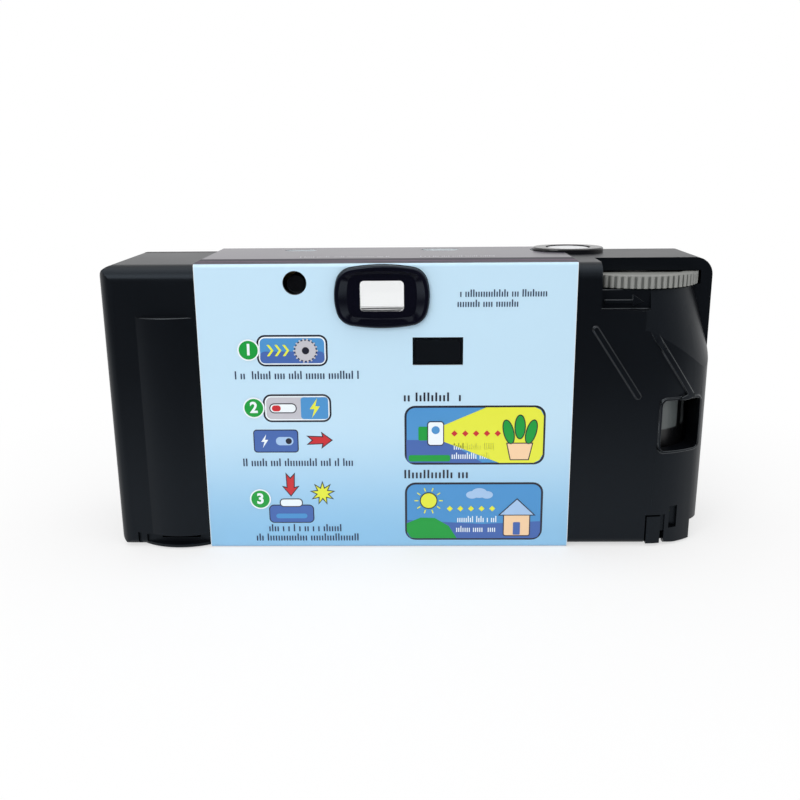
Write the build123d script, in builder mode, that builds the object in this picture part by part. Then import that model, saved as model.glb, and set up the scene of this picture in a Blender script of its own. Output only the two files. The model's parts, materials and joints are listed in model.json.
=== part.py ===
from build123d import *
import os
from math import atan2, degrees, hypot, pi

os.makedirs("parts", exist_ok=True)

# Compact single-use flash camera for 35 mm film, in millimetres. Seen from behind, +X is right,
# +Y points to the subject and +Z is up. The origin is the middle of the underside of the sleeve.

# Case
CASE_W = 118.0            # over the two end walls
CASE_H = 57.0             # over the sleeve
CASE_D = 29.5             # over the sleeve, without the lens mount and the film bulge
SLEEVE_T = 0.4
WALL = 1.35
FRONT_DEPTH = 3.35        # depth of the front cover behind its face
END_DRAFT = 1.0           # the right end leans in by this much at its foot
CORNER_LEFT_R = 3.0
CORNER_RIGHT_R = 6.0      # front corner at the right end
SWEEP_X = 7.5             # the rear right corner sweeps round the cassette: run along the back,
SWEEP_Y = 5.35            # run along the end, and the radii where it leaves each of them
SWEEP_BACK_R = 16.0
SWEEP_END_R = 7.5
TOP_REAR_R = 3.0
TOP_FRONT_R = 2.5
BOTTOM_EDGE_R = 1.5
FIT = 0.1                 # play of snapped and turning parts
GAP = 0.3                 # air between parts that must not touch

# Sleeve, its two edges measured from the ends of the case
SLEEVE_LEFT_INSET = 18.55
SLEEVE_RIGHT_INSET = 27.9

# Film and cassette, standard 35 mm sizes
FILM_W = 35.0
FILM_T = 0.2
GATE_W = 36.0
GATE_H = 24.0
CASSETTE_R = 12.5
CASSETTE_H = 42.5
SPOOL_R = 5.5
LENS_Z = 25.6             # height of the film's centre line and of the lens
FILM_SETBACK = 1.45       # inner face of the rear wall to the film
SPROCKET_TEETH = 8
PERFORATION_PITCH = 4.75

# Thumbwheel and its bay in the rear cover
WHEEL_INSET = 14.8        # wheel and cassette axis from the right end
WHEEL_R = 13.0
WHEEL_T = 2.3
WHEEL_DROP = 5.4          # underside of the knurled rim below the top of the case
WHEEL_TEETH = 64
HUB_R = 5.9
BAY_HALF = 8.4            # wheel axis to the left wall of the bay
HOOD_REACH = 5.0          # wheel axis to the rear face of the hood
RECESS_R = 12.2           # wheel axis to the thumb recess, also the neck of the flare
RECESS_DROP = 9.3
FLARE_FOOT_Z = 35.2
FLARE_FOOT_R = 16.6

# Unexposed film roll at the left
ROLL_INSET = 12.4
ROLL_R = 8.3
BULGE_R = 12.5
BULGE_DROP = 10.1

# Finder
EYE_X = -5.36
EYE_DROP = 6.26
EYE_W = 8.24
EYE_H = 5.78
BEZEL_W = 17.75
BEZEL_H = 11.8
BEZEL_PROUD = 1.2
TUNNEL_WALL = 0.9
FRONT_WINDOW_W = 10.6
FRONT_WINDOW_H = 7.6

# Lens and shutter
LENS_R = 4.2
MOUNT_R = 14.5            # foot of the raised mount on the front cover
MOUNT_PROUD = 2.3
LENS_RING_R = 9.0
APERTURE_R = 1.5
SHUTTER_PLATE_W = 23.0
SHUTTER_PLATE_H = 22.0

# Controls
BUTTON_INSET = 26.4
BUTTON_R = 4.45
BUTTON_TRAVEL = 1.2
COLLAR_L = 14.5
COLLAR_W = 10.4
DIAL_R = 8.8
DIAL_TEETH = 30
COUNTER_L = 7.9
COUNTER_W = 4.0
SLIDER_Z = 19.0
SLIDER_TRAVEL = 5.5

# Flash unit
LAMP_X = -21.65
LAMP_DROP = 3.7
LAMP_HOLE_R = 2.25
LAMP_TOP_X = -23.1
LAMP_TOP_L = 6.6
LAMP_TOP_W = 3.2
FLASH_INSET = 17.0
FLASH_DROP = 11.0
FLASH_W = 24.0
FLASH_H = 11.0
CELL_R = 7.2
CELL_L = 50.0
CAPACITOR_R = 5.0
CAPACITOR_L = 27.0
TRANSFORMER_W = 8.0

# Values that follow from those above
BODY_Y = CASE_D / 2 - SLEEVE_T
BODY_Z0 = SLEEVE_T
BODY_Z1 = CASE_H - SLEEVE_T
END_X = CASE_W / 2
IN_X = END_X - WALL
IN_Y = BODY_Y - WALL
IN_Z0 = BODY_Z0 + WALL
IN_Z1 = BODY_Z1 - WALL
SEAM_Y = BODY_Y - FRONT_DEPTH
SLEEVE_X0 = -END_X + SLEEVE_LEFT_INSET
SLEEVE_X1 = END_X - SLEEVE_RIGHT_INSET
FILM_Y = -IN_Y + FILM_SETBACK + FILM_T / 2
FILM_Z0 = LENS_Z - FILM_W / 2
FILM_Z1 = LENS_Z + FILM_W / 2
CASSETTE_Z0 = LENS_Z - CASSETTE_H / 2
CASSETTE_Z1 = LENS_Z + CASSETTE_H / 2
CHAMBER_R = CASSETTE_R + GAP + FIT
CHAMBER_TOP = CASSETTE_Z1 + FIT
WHEEL_X = END_X - WHEEL_INSET
WHEEL_Y = -IN_Y + FIT + CHAMBER_R
WHEEL_Z = CASE_H - WHEEL_DROP
BAY_X = WHEEL_X - BAY_HALF
HOOD_Y = WHEEL_Y - HOOD_REACH
RECESS_Y = WHEEL_Y - RECESS_R
RECESS_Z = CASE_H - RECESS_DROP
CHAMBER_LEFT = WHEEL_X - CHAMBER_R - 1.3
FLOOR_Z = WHEEL_Z - 0.2
SLOT_TOP = WHEEL_Z + WHEEL_T + 0.2
SLOT_R = WHEEL_R + 0.5
ROLL_X = -END_X + ROLL_INSET
ROLL_Y = FILM_Y + FILM_T / 2 + GAP + ROLL_R
BULGE_Y = ROLL_Y - 0.4
BULGE_TOP = CASE_H - BULGE_DROP
EYE_Z = CASE_H - EYE_DROP
LAMP_Z = CASE_H - LAMP_DROP
FLASH_X = -END_X + FLASH_INSET
FLASH_Z = CASE_H - FLASH_DROP
BUTTON_X = END_X - BUTTON_INSET
BUTTON_Y = SEAM_Y - 3.8
BUTTON_Z0 = SLOT_TOP + BUTTON_TRAVEL + GAP
BUTTON_TOP = CASE_H + 0.45
TOP_WINDOW_Y = SEAM_Y - 2.4
SPROCKET_R = SPROCKET_TEETH * PERFORATION_PITCH / (2 * pi)
SPROCKET_X = CHAMBER_LEFT - SPROCKET_R
SPROCKET_Y = FILM_Y + SPROCKET_R
SPROCKET_Z = FILM_Z1 - 2.0
DIAL_X = SPROCKET_X - 12.952
DIAL_Y = SEAM_Y - 7.4
COUNTER_X = DIAL_X - 4.85
SPROCKET_TIP_R = SPROCKET_R + 0.8
DECK_T = 1.2
DECK_Z = FILM_Z1 + 0.5 + DECK_T


def save(piece, name):
    """Label a finished piece and write its file."""
    piece.part.label = name
    export_step(piece.part, f"parts/{name}.step")


def box(x, y, z, mode=Mode.ADD):
    """A block between two limits on each axis, inside the current piece."""
    with Locations(((x[0] + x[1]) / 2, (y[0] + y[1]) / 2, (z[0] + z[1]) / 2)):
        Box(x[1] - x[0], y[1] - y[0], z[1] - z[0], mode=mode)


def post(x, y, z, radius, mode=Mode.ADD):
    """An upright round post between two heights, inside the current piece."""
    with Locations((x, y, (z[0] + z[1]) / 2)):
        Cylinder(radius, z[1] - z[0], mode=mode)


def rod_y(x, y, z, radius, mode=Mode.ADD):
    """A round bar along the depth of the camera, inside the current piece."""
    with Locations((x, (y[0] + y[1]) / 2, z)):
        Cylinder(radius, y[1] - y[0], rotation=(90, 0, 0), mode=mode)


def rod_x(x, y, z, radius, mode=Mode.ADD):
    """A round bar along the width of the camera, inside the current piece."""
    with Locations(((x[0] + x[1]) / 2, y, z)):
        Cylinder(radius, x[1] - x[0], rotation=(0, 90, 0), mode=mode)


def outline_prism(plane, corners, reach):
    """A closed outline with its own radius at each corner, extruded both ways from a plane."""
    with BuildPart() as prism:
        with BuildSketch(plane):
            with BuildLine():
                points = [(a, b) for a, b, r in corners]
                FilletPolyline(*points, radius=[r for a, b, r in corners], close=True)
            make_face()
        extrude(amount=reach, both=True)
    return prism.part


def case_plan(grow=0.0):
    """The case seen from above, as an upright prism; the rear right corner is swept."""
    x, y = END_X + grow, BODY_Y + grow
    plan = [(-x, -y, CORNER_LEFT_R), (x - SWEEP_X, -y, SWEEP_BACK_R),
            (x, -y + SWEEP_Y, SWEEP_END_R), (x, y, CORNER_RIGHT_R), (-x, y, CORNER_LEFT_R)]
    return outline_prism(Plane.XY, plan, CASE_H)


def case_block(grow=0.0):
    """Outer form of both covers together: plan, rear and side outlines crossed."""
    x, y = END_X + grow, BODY_Y + grow
    z0, z1 = BODY_Z0 - grow, BODY_Z1 + grow
    rear = [(-x, z0, 2.5), (x - END_DRAFT, z0, 1.5), (x, FLARE_FOOT_Z, 0), (x, z1, 3.5),
            (-x, z1, 3.0)]
    side = [(-y, z0, BOTTOM_EDGE_R), (y, z0, BOTTOM_EDGE_R), (y, z1, TOP_FRONT_R),
            (-y, z1, TOP_REAR_R)]
    with BuildPart() as block:
        add(case_plan(grow))
        add(outline_prism(Plane.XZ, rear, CASE_D), mode=Mode.INTERSECT)
        add(outline_prism(Plane.YZ, side, CASE_W), mode=Mode.INTERSECT)
    return block.part


def oval(x, z, width, height, side_bow, top_bow, corner_r):
    """A rounded rectangle with gently bowed sides on the current sketch."""
    a, b = width / 2 - side_bow, height / 2 - top_bow
    with BuildLine() as edge:
        ThreePointArc((x - a, z + b), (x, z + height / 2), (x + a, z + b))
        ThreePointArc((x + a, z + b), (x + width / 2, z), (x + a, z - b))
        ThreePointArc((x + a, z - b), (x, z - height / 2), (x - a, z - b))
        ThreePointArc((x - a, z - b), (x - width / 2, z), (x - a, z + b))
    face = make_face(edge.edges())
    fillet(face.vertices(), corner_r)


def rear_plane(y):
    """A plane facing backwards at a given depth; its own X and Y are the camera's X and Z."""
    return Plane.XZ.offset(-y)


# The flare: below the thumbwheel the rear corner is scooped to a cone round the wheel's axis
with BuildPart() as flare_scoop:
    with BuildSketch(Plane.XZ):
        with BuildLine():
            neck = (RECESS_R, FLOOR_Z)
            waist = (RECESS_R + 0.52 * (FLARE_FOOT_R - RECESS_R), (FLOOR_Z + FLARE_FOOT_Z) / 2)
            foot = (FLARE_FOOT_R, FLARE_FOOT_Z)
            ThreePointArc(neck, waist, foot)
            Polyline(foot, (2 * CASE_D, FLARE_FOOT_Z), (2 * CASE_D, FLOOR_Z), neck)
        make_face()
    revolve(axis=Axis.Z)
scoop_solid = flare_scoop.part.moved(Location((WHEEL_X, WHEEL_Y, 0)))

with BuildPart() as flare_cut:
    add(scoop_solid)
    box((WHEEL_X, END_X + 5), (-CASE_D, HOOD_Y), (FLARE_FOOT_Z, FLOOR_Z), mode=Mode.INTERSECT)

# Rear cover
DOOR_X0 = SLEEVE_X1 + 0.7
DOOR_X1 = END_X - END_DRAFT - 1.75
DOOR_STEP_Z = CASSETTE_Z0
LATCH_X = WHEEL_X + 4.0
LATCH_W = 2.8
LATCH_TOP = 6.3
HINGE_X = DOOR_X0 + 1.15
HINGE_R = 1.1
HINGE_Z = BODY_Z0 + HINGE_R
PIN_R = 0.8
WINDOW_X = WHEEL_X + 8.3
WINDOW_Z = 25.05
WINDOW_W = 8.0
WINDOW_H = 10.1

with BuildPart() as door_opening:
    box((DOOR_X0 - GAP, END_X), (-CASE_D, SEAM_Y), (-1, IN_Z0))
    box((DOOR_X1 - 7.5, END_X), (-CASE_D, SEAM_Y), (-1, DOOR_STEP_Z))
    add(case_plan(-WALL), mode=Mode.INTERSECT)

top_windows = ((LAMP_TOP_X, LAMP_TOP_L, LAMP_TOP_W), (COUNTER_X, COUNTER_L, COUNTER_W))

# Raised detail that follows the swept corner: the window's lip and two slanted grip ribs, of
# which the second hooks into the lip
RIB_W = 1.1
RIB_H = 0.5
with BuildPart() as raised_detail:
    with BuildSketch(rear_plane(HOOD_Y)):
        with Locations((WINDOW_X, WINDOW_Z)):
            RectangleRounded(WINDOW_W + 1.0, WINDOW_H + 1.0, 1.3)
    extrude(amount=CASE_D)
    add(case_block(0.3), mode=Mode.INTERSECT)
    with BuildPart() as ribs:
        with BuildSketch(rear_plane(HOOD_Y)):
            for top, foot in (((-9.3, 44.2), (-0.6, 31.1)), ((1.2, 44.2), (10.2, 30.9)),
                              ((10.2, 30.9), (8.4, 30.3))):
                run, drop = foot[0] - top[0], foot[1] - top[1]
                with Locations((WHEEL_X + (top[0] + foot[0]) / 2, (top[1] + foot[1]) / 2)):
                    SlotCenterToCenter(hypot(run, drop), RIB_W, rotation=degrees(atan2(drop, run)))
        extrude(amount=CASE_D)
        add(case_block(RIB_H), mode=Mode.INTERSECT)

with BuildPart() as back_cover:
    add(case_block())
    add(raised_detail.part)
    with BuildSketch(Plane.XY.offset(BODY_Z0)):
        with Locations((ROLL_X, BULGE_Y)):
            Circle(BULGE_R)
        with Locations((ROLL_X, -BODY_Y)):
            Rectangle(2 * BULGE_R, 2 * BULGE_R - BODY_Y - BULGE_Y, mode=Mode.INTERSECT)
    extrude(amount=BULGE_TOP - BODY_Z0)
    box((-CASE_W, CASE_W), (SEAM_Y, CASE_D), (-1, CASE_H + 1), mode=Mode.SUBTRACT)
    # main space, film roll space and cassette chamber
    box((-IN_X, CHAMBER_LEFT), (-IN_Y, SEAM_Y), (IN_Z0, IN_Z1), mode=Mode.SUBTRACT)
    box((CHAMBER_LEFT - 1, CHAMBER_LEFT + 1.6), (-IN_Y + 3, SEAM_Y), (CHAMBER_TOP + WALL, IN_Z1),
        mode=Mode.SUBTRACT)
    post(ROLL_X, BULGE_Y, (IN_Z0, BULGE_TOP - WALL), BULGE_R - WALL, mode=Mode.SUBTRACT)
    post(WHEEL_X, WHEEL_Y, (-1, CHAMBER_TOP), CHAMBER_R, mode=Mode.SUBTRACT)
    box((CHAMBER_LEFT - 1, WHEEL_X), (WHEEL_Y - CASSETTE_R - FIT, FILM_Y + 1.3),
        (IN_Z0, CHAMBER_TOP), mode=Mode.SUBTRACT)
    box((WHEEL_X - 8, IN_X), (WHEEL_Y, SEAM_Y), (DOOR_STEP_Z + WALL, CHAMBER_TOP),
        mode=Mode.SUBTRACT)
    post(SPROCKET_X, SPROCKET_Y, (SPROCKET_Z - 2, DECK_Z), SPROCKET_TIP_R + GAP, mode=Mode.SUBTRACT)
    # thumbwheel bay, slot and bearing
    with BuildSketch(Plane.XY.offset(FLOOR_Z)):
        with BuildLine():
            far_x = END_X + 2
            FilletPolyline((BAY_X, -CASE_D), (BAY_X, HOOD_Y), (far_x, HOOD_Y), (far_x, -CASE_D),
                           radius=[2.5, 0, 0, 0], close=True)
        make_face()
    extrude(amount=CASE_H - FLOOR_Z, mode=Mode.SUBTRACT)
    post(WHEEL_X, WHEEL_Y, (FLOOR_Z, SLOT_TOP), SLOT_R, mode=Mode.SUBTRACT)
    post(WHEEL_X, WHEEL_Y, (CHAMBER_TOP + WALL, FLOOR_Z - WALL), RECESS_R - 1.1,
         mode=Mode.SUBTRACT)
    post(WHEEL_X, WHEEL_Y, (CHAMBER_TOP - 1, FLOOR_Z + 1), HUB_R + FIT, mode=Mode.SUBTRACT)
    add(flare_cut.part, mode=Mode.SUBTRACT)
    box((BAY_X, WHEEL_X + 1.1), (-CASE_D, RECESS_Y), (RECESS_Z, FLOOR_Z + 1), mode=Mode.SUBTRACT)
    # space under the shutter button
    box((CHAMBER_LEFT - 4, BUTTON_X + 6.6), (BUTTON_Y - 6.4, SEAM_Y), (SLOT_TOP - 0.1, IN_Z1),
        mode=Mode.SUBTRACT)
    post(BUTTON_X, BUTTON_Y, (IN_Z1 - 1, CASE_H), BUTTON_R + 1.5, mode=Mode.SUBTRACT)
    # film door opening, its step at the right end and the latch pocket
    add(door_opening.part, mode=Mode.SUBTRACT)
    box((DOOR_X1 + FIT, END_X + 1), (-CASE_D, SEAM_Y), (-1, DOOR_STEP_Z), mode=Mode.SUBTRACT)
    box((LATCH_X - LATCH_W / 2 - GAP, LATCH_X + LATCH_W / 2 + 0.9), (-CASE_D, -IN_Y - 0.35),
        (-1, LATCH_TOP + GAP), mode=Mode.SUBTRACT)
    box((LATCH_X - LATCH_W / 2 - GAP, LATCH_X + LATCH_W / 2 + 0.9), (-CASE_D, -IN_Y + 1),
        (-1, IN_Z0 + 1.2), mode=Mode.SUBTRACT)
    rod_y(HINGE_X, (-IN_Y - 0.9, -IN_Y + 1), HINGE_Z, PIN_R + 0.06, mode=Mode.SUBTRACT)
    rod_y(HINGE_X, (-IN_Y, SEAM_Y), HINGE_Z, HINGE_R + GAP, mode=Mode.SUBTRACT)
    # ready lamp hole and finder opening
    rod_y(LAMP_X, (-CASE_D, 0), LAMP_Z, LAMP_HOLE_R, mode=Mode.SUBTRACT)
    box((EYE_X - EYE_W / 2 - 1, EYE_X + EYE_W / 2 + 1), (-CASE_D, -5),
        (EYE_Z - EYE_H / 2 - 1, EYE_Z + EYE_H / 2 + 1), mode=Mode.SUBTRACT)
    with BuildSketch(rear_plane(HOOD_Y + 1.4)):
        with Locations((WINDOW_X, WINDOW_Z)):
            RectangleRounded(WINDOW_W, WINDOW_H, 0.9)
    extrude(amount=CASE_D, mode=Mode.SUBTRACT)
    # winding arrow in the thumb recess
    with BuildSketch(rear_plane(RECESS_Y)):
        with Locations((WHEEL_X - 4.8, RECESS_Z + 1.4)):
            Rectangle(5.4, 0.7)
        with BuildLine():
            Polyline((WHEEL_X - 2.2, RECESS_Z + 0.5), (WHEEL_X - 0.2, RECESS_Z + 1.4),
                     (WHEEL_X - 2.2, RECESS_Z + 2.8), close=True)
        make_face()
    extrude(amount=0.3)
    # ready lamp window and counter window in the top
    for x, length, width in top_windows:
        with BuildSketch(Plane.XY.offset(CASE_H)):
            with Locations((x, TOP_WINDOW_Y)):
                SlotOverall(length, width)
        extrude(amount=IN_Z1 - CASE_H - 1, mode=Mode.SUBTRACT)
    # pad behind the rear opening of the sleeve, slots in the foot
    with BuildSketch(rear_plane(-BODY_Y)):
        with Locations((5.1, 40.2)):
            RectangleRounded(8.8, 4.6, 0.8)
    extrude(amount=SLEEVE_T * 0.8, taper=30)
    box((-END_X + 5.6, SLEEVE_X0 + 3), (-CASE_D, -IN_Y - 0.6), (0.95, 2.8), mode=Mode.SUBTRACT)
    box((-END_X + 3.8, -END_X + 4.5), (-CASE_D, -IN_Y - 0.6), (-1, 3.15), mode=Mode.SUBTRACT)
    box((WHEEL_X + 7.2, WHEEL_X + 8.9), (-CASE_D, -IN_Y + 1.1), (3.6, 8.2), mode=Mode.SUBTRACT)
    # ribs that press the film flat against the gate
    rib_x = [-GATE_W / 2 + GATE_W * i / 4 for i in range(5)]
    for x in rib_x:
        box((x - 0.5, x + 0.5), (-IN_Y - 0.2, FILM_Y - FILM_T / 2 - FIT), (FILM_Z0, FILM_Z1))
save(back_cover, "back_cover")

# Front cover with its raised lens mount
MOUNT_TOP = BODY_Y + MOUNT_PROUD
SLIDER_H = 5.6
SLIDER_T = 1.3
SLIDER_Y = SEAM_Y + 0.35
KNOB_X = -END_X + 10.0
KNOB_W = 4.4
FRONT_EYE_Z = EYE_Z - 1.3

with BuildPart() as front_space:
    box((-IN_X, IN_X), (SEAM_Y - 1, IN_Y + 0.05), (IN_Z0, CHAMBER_TOP + 3.6))
    box((-IN_X, BUTTON_X + 6.6), (SEAM_Y - 1, IN_Y + 0.05), (CHAMBER_TOP, IN_Z1))
    add(case_plan(0.05 - WALL), mode=Mode.INTERSECT)

with BuildPart() as front_cover:
    add(case_block())
    box((-CASE_W, CASE_W), (-CASE_D, SEAM_Y), (-1, CASE_H + 1), mode=Mode.SUBTRACT)
    with BuildSketch(rear_plane(BODY_Y)):
        with Locations((0, LENS_Z)):
            Ellipse(MOUNT_R + 2.5, MOUNT_R)
    with BuildSketch(rear_plane(MOUNT_TOP)):
        with Locations((0, LENS_Z)):
            Ellipse(MOUNT_R - 0.5, MOUNT_R - 2.5)
    loft()
    add(front_space.part, mode=Mode.SUBTRACT)
    post(WHEEL_X, WHEEL_Y, (CHAMBER_TOP + 3, SLOT_TOP), SLOT_R, mode=Mode.SUBTRACT)
    post(BUTTON_X, BUTTON_Y, (IN_Z1 - 1, CASE_H), BUTTON_R + 1.5, mode=Mode.SUBTRACT)
    # lens seat: a cone outside and a round bore for the lens retainer
    with BuildSketch(rear_plane(MOUNT_TOP)):
        with Locations((0, LENS_Z)):
            Circle(LENS_RING_R)
    extrude(amount=MOUNT_PROUD - 0.7, mode=Mode.SUBTRACT)
    rod_y(0, (0, CASE_D), LENS_Z, LENS_R + 1.6, mode=Mode.SUBTRACT)
    rod_y(0, (0, BODY_Y - 0.2), LENS_Z, LENS_R + 3.2, mode=Mode.SUBTRACT)
    # finder window, flash window, slots of the flash slider
    box((EYE_X - FRONT_WINDOW_W / 2, EYE_X + FRONT_WINDOW_W / 2), (0, CASE_D),
        (FRONT_EYE_Z - FRONT_WINDOW_H / 2, FRONT_EYE_Z + FRONT_WINDOW_H / 2), mode=Mode.SUBTRACT)
    with BuildSketch(rear_plane(CASE_D)):
        with Locations((FLASH_X, FLASH_Z)):
            RectangleRounded(FLASH_W, FLASH_H, 1.2)
    extrude(amount=CASE_D - SEAM_Y, mode=Mode.SUBTRACT)
    box((KNOB_X - KNOB_W / 2 - SLIDER_TRAVEL - GAP / 2, KNOB_X + KNOB_W / 2 + GAP / 2), (0, CASE_D),
        (SLIDER_Z - 1.6, SLIDER_Z + 1.6), mode=Mode.SUBTRACT)
    box((-END_X - 1, -IN_X + 3), (SEAM_Y - 1, SLIDER_Y + SLIDER_T + 0.15),
        (SLIDER_Z - SLIDER_H / 2 - 0.15, SLIDER_Z + SLIDER_H / 2 + 0.15), mode=Mode.SUBTRACT)
    # foot is open over the film door
    box((DOOR_X0 - GAP, END_X + 1), (0, IN_Y + 0.05), (-1, IN_Z0 + 0.1), mode=Mode.SUBTRACT)
    box((DOOR_X1 + FIT, END_X + 1), (0, CASE_D), (-1, DOOR_STEP_Z), mode=Mode.SUBTRACT)
    rod_y(HINGE_X, (IN_Y - 1, IN_Y + 0.9), HINGE_Z, PIN_R + 0.06, mode=Mode.SUBTRACT)
save(front_cover, "front_cover")

# Printed card sleeve, glued into a band round the middle of the case
with BuildPart() as sleeve:
    with BuildSketch(Plane.YZ.offset(SLEEVE_X0)):
        with Locations((0, CASE_H / 2)):
            RectangleRounded(CASE_D, CASE_H, SLEEVE_T + 0.4)
            RectangleRounded(CASE_D - 2 * SLEEVE_T, CASE_H - 2 * SLEEVE_T, 0.4, mode=Mode.SUBTRACT)
    extrude(amount=SLEEVE_X1 - SLEEVE_X0)
    # rear openings: finder, ready lamp, window pad
    with BuildSketch(rear_plane(0)):
        oval(EYE_X, EYE_Z, BEZEL_W + 2 * FIT, BEZEL_H + 2 * FIT, 1.2, 0.9, 3.4)
    extrude(amount=CASE_D, mode=Mode.SUBTRACT)
    rod_y(LAMP_X, (-CASE_D, 0), LAMP_Z, LAMP_HOLE_R, mode=Mode.SUBTRACT)
    box((0.34, 9.93), (-CASE_D, 0), (37.5, 42.9), mode=Mode.SUBTRACT)
    # front openings: lens mount, finder window, flash window
    with BuildSketch(rear_plane(CASE_D)):
        with Locations((0, LENS_Z)):
            Ellipse(MOUNT_R + 2.5 + GAP, MOUNT_R + GAP)
        with Locations((EYE_X, FRONT_EYE_Z)):
            RectangleRounded(FRONT_WINDOW_W + 1, FRONT_WINDOW_H + 1, 0.8)
        with Locations((FLASH_X, FLASH_Z)):
            RectangleRounded(FLASH_W + 3, FLASH_H + 3, 1.5)
    extrude(amount=CASE_D, mode=Mode.SUBTRACT)
    # top openings: shutter collar, ready lamp window, counter window
    with BuildSketch(Plane.XY.offset(CASE_H / 2)):
        with Locations((BUTTON_X, BUTTON_Y)):
            SlotOverall(COLLAR_L + 1.2, COLLAR_W + 1.2)
        with Locations(((SLEEVE_X1 + BUTTON_X) / 2, BUTTON_Y + COLLAR_W / 2)):
            Rectangle(COLLAR_W, COLLAR_W)
        for x, length, width in top_windows:
            with Locations((x, TOP_WINDOW_Y)):
                SlotOverall(length, width)
    extrude(amount=CASE_H, mode=Mode.SUBTRACT)
save(sleeve, "sleeve")

# Eyepiece surround: a dished oval that stands out through the sleeve
EYE_STUB = 0.55
with BuildPart() as eyepiece_bezel:
    with BuildSketch(rear_plane(-BODY_Y)):
        oval(EYE_X, EYE_Z, BEZEL_W, BEZEL_H, 1.2, 0.9, 3.4)
    extrude(amount=SLEEVE_T + BEZEL_PROUD)
    rim = eyepiece_bezel.faces().sort_by(Axis.Y)[0].outer_wire().edges()
    fillet(rim, 0.45)
    with BuildSketch(rear_plane(-BODY_Y - SLEEVE_T - BEZEL_PROUD)):
        oval(EYE_X, EYE_Z, BEZEL_W - 1.6, BEZEL_H - 1.6, 1.1, 0.8, 2.8)
    with BuildSketch(rear_plane(-BODY_Y - SLEEVE_T)):
        oval(EYE_X, EYE_Z, BEZEL_W - 4.6, BEZEL_H - 3.4, 0.5, 0.4, 1.6)
    loft(mode=Mode.SUBTRACT)
    box((EYE_X - EYE_W / 2 - EYE_STUB, EYE_X + EYE_W / 2 + EYE_STUB), (-BODY_Y, -IN_Y + FIT),
        (EYE_Z - EYE_H / 2 - EYE_STUB, EYE_Z + EYE_H / 2 + EYE_STUB))
    with BuildSketch(rear_plane(0)):
        with Locations((EYE_X, EYE_Z)):
            RectangleRounded(EYE_W, EYE_H, 0.8)
    extrude(amount=CASE_D, mode=Mode.SUBTRACT)
save(eyepiece_bezel, "eyepiece_bezel")

# Finder: a tapered tunnel with a small lens at the eye and a large one at the front
TUNNEL_Y0 = -IN_Y + 2 * FIT
TUNNEL_Y1 = IN_Y - FIT
REAR_IN_W = EYE_W + 0.6
REAR_IN_H = EYE_H + 0.4
FRONT_IN_W = FRONT_WINDOW_W
FRONT_IN_H = FRONT_WINDOW_H
LENS_SEAT = 1.6

tunnel_ends = (
    (TUNNEL_Y1, FRONT_IN_W, FRONT_IN_H, FRONT_EYE_Z),
    (TUNNEL_Y0, REAR_IN_W, REAR_IN_H, EYE_Z),
)
with BuildPart() as finder_tunnel:
    for wall, mode in ((2 * TUNNEL_WALL, Mode.ADD), (0, Mode.SUBTRACT)):
        for y, width, height, z in tunnel_ends:
            with BuildSketch(rear_plane(y)):
                with Locations((EYE_X, z)):
                    Rectangle(width + wall, height + wall)
        loft(mode=mode)
save(finder_tunnel, "finder_tunnel")

with BuildPart() as finder_front_lens:
    with BuildSketch(rear_plane(TUNNEL_Y1 - FIT)):
        with Locations((EYE_X, FRONT_EYE_Z)):
            Rectangle(FRONT_IN_W - 4 * FIT, FRONT_IN_H - 4 * FIT)
    extrude(amount=LENS_SEAT)
    # hollow ground into the rear face
    with Locations((EYE_X, TUNNEL_Y1 - 24.9, FRONT_EYE_Z)):
        Sphere(24, mode=Mode.SUBTRACT)
save(finder_front_lens, "finder_front_lens")

with BuildPart() as finder_rear_lens:
    with BuildSketch(rear_plane(TUNNEL_Y0 + 2.4)):
        with Locations((EYE_X, EYE_Z)):
            Rectangle(REAR_IN_W - 2 * FIT, REAR_IN_H - 2 * FIT)
    extrude(amount=LENS_SEAT)
    # domed towards the eye
    with Locations((EYE_X, TUNNEL_Y0 + 0.8 + 20, EYE_Z)):
        Sphere(20, mode=Mode.INTERSECT)
save(finder_rear_lens, "finder_rear_lens")

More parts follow.
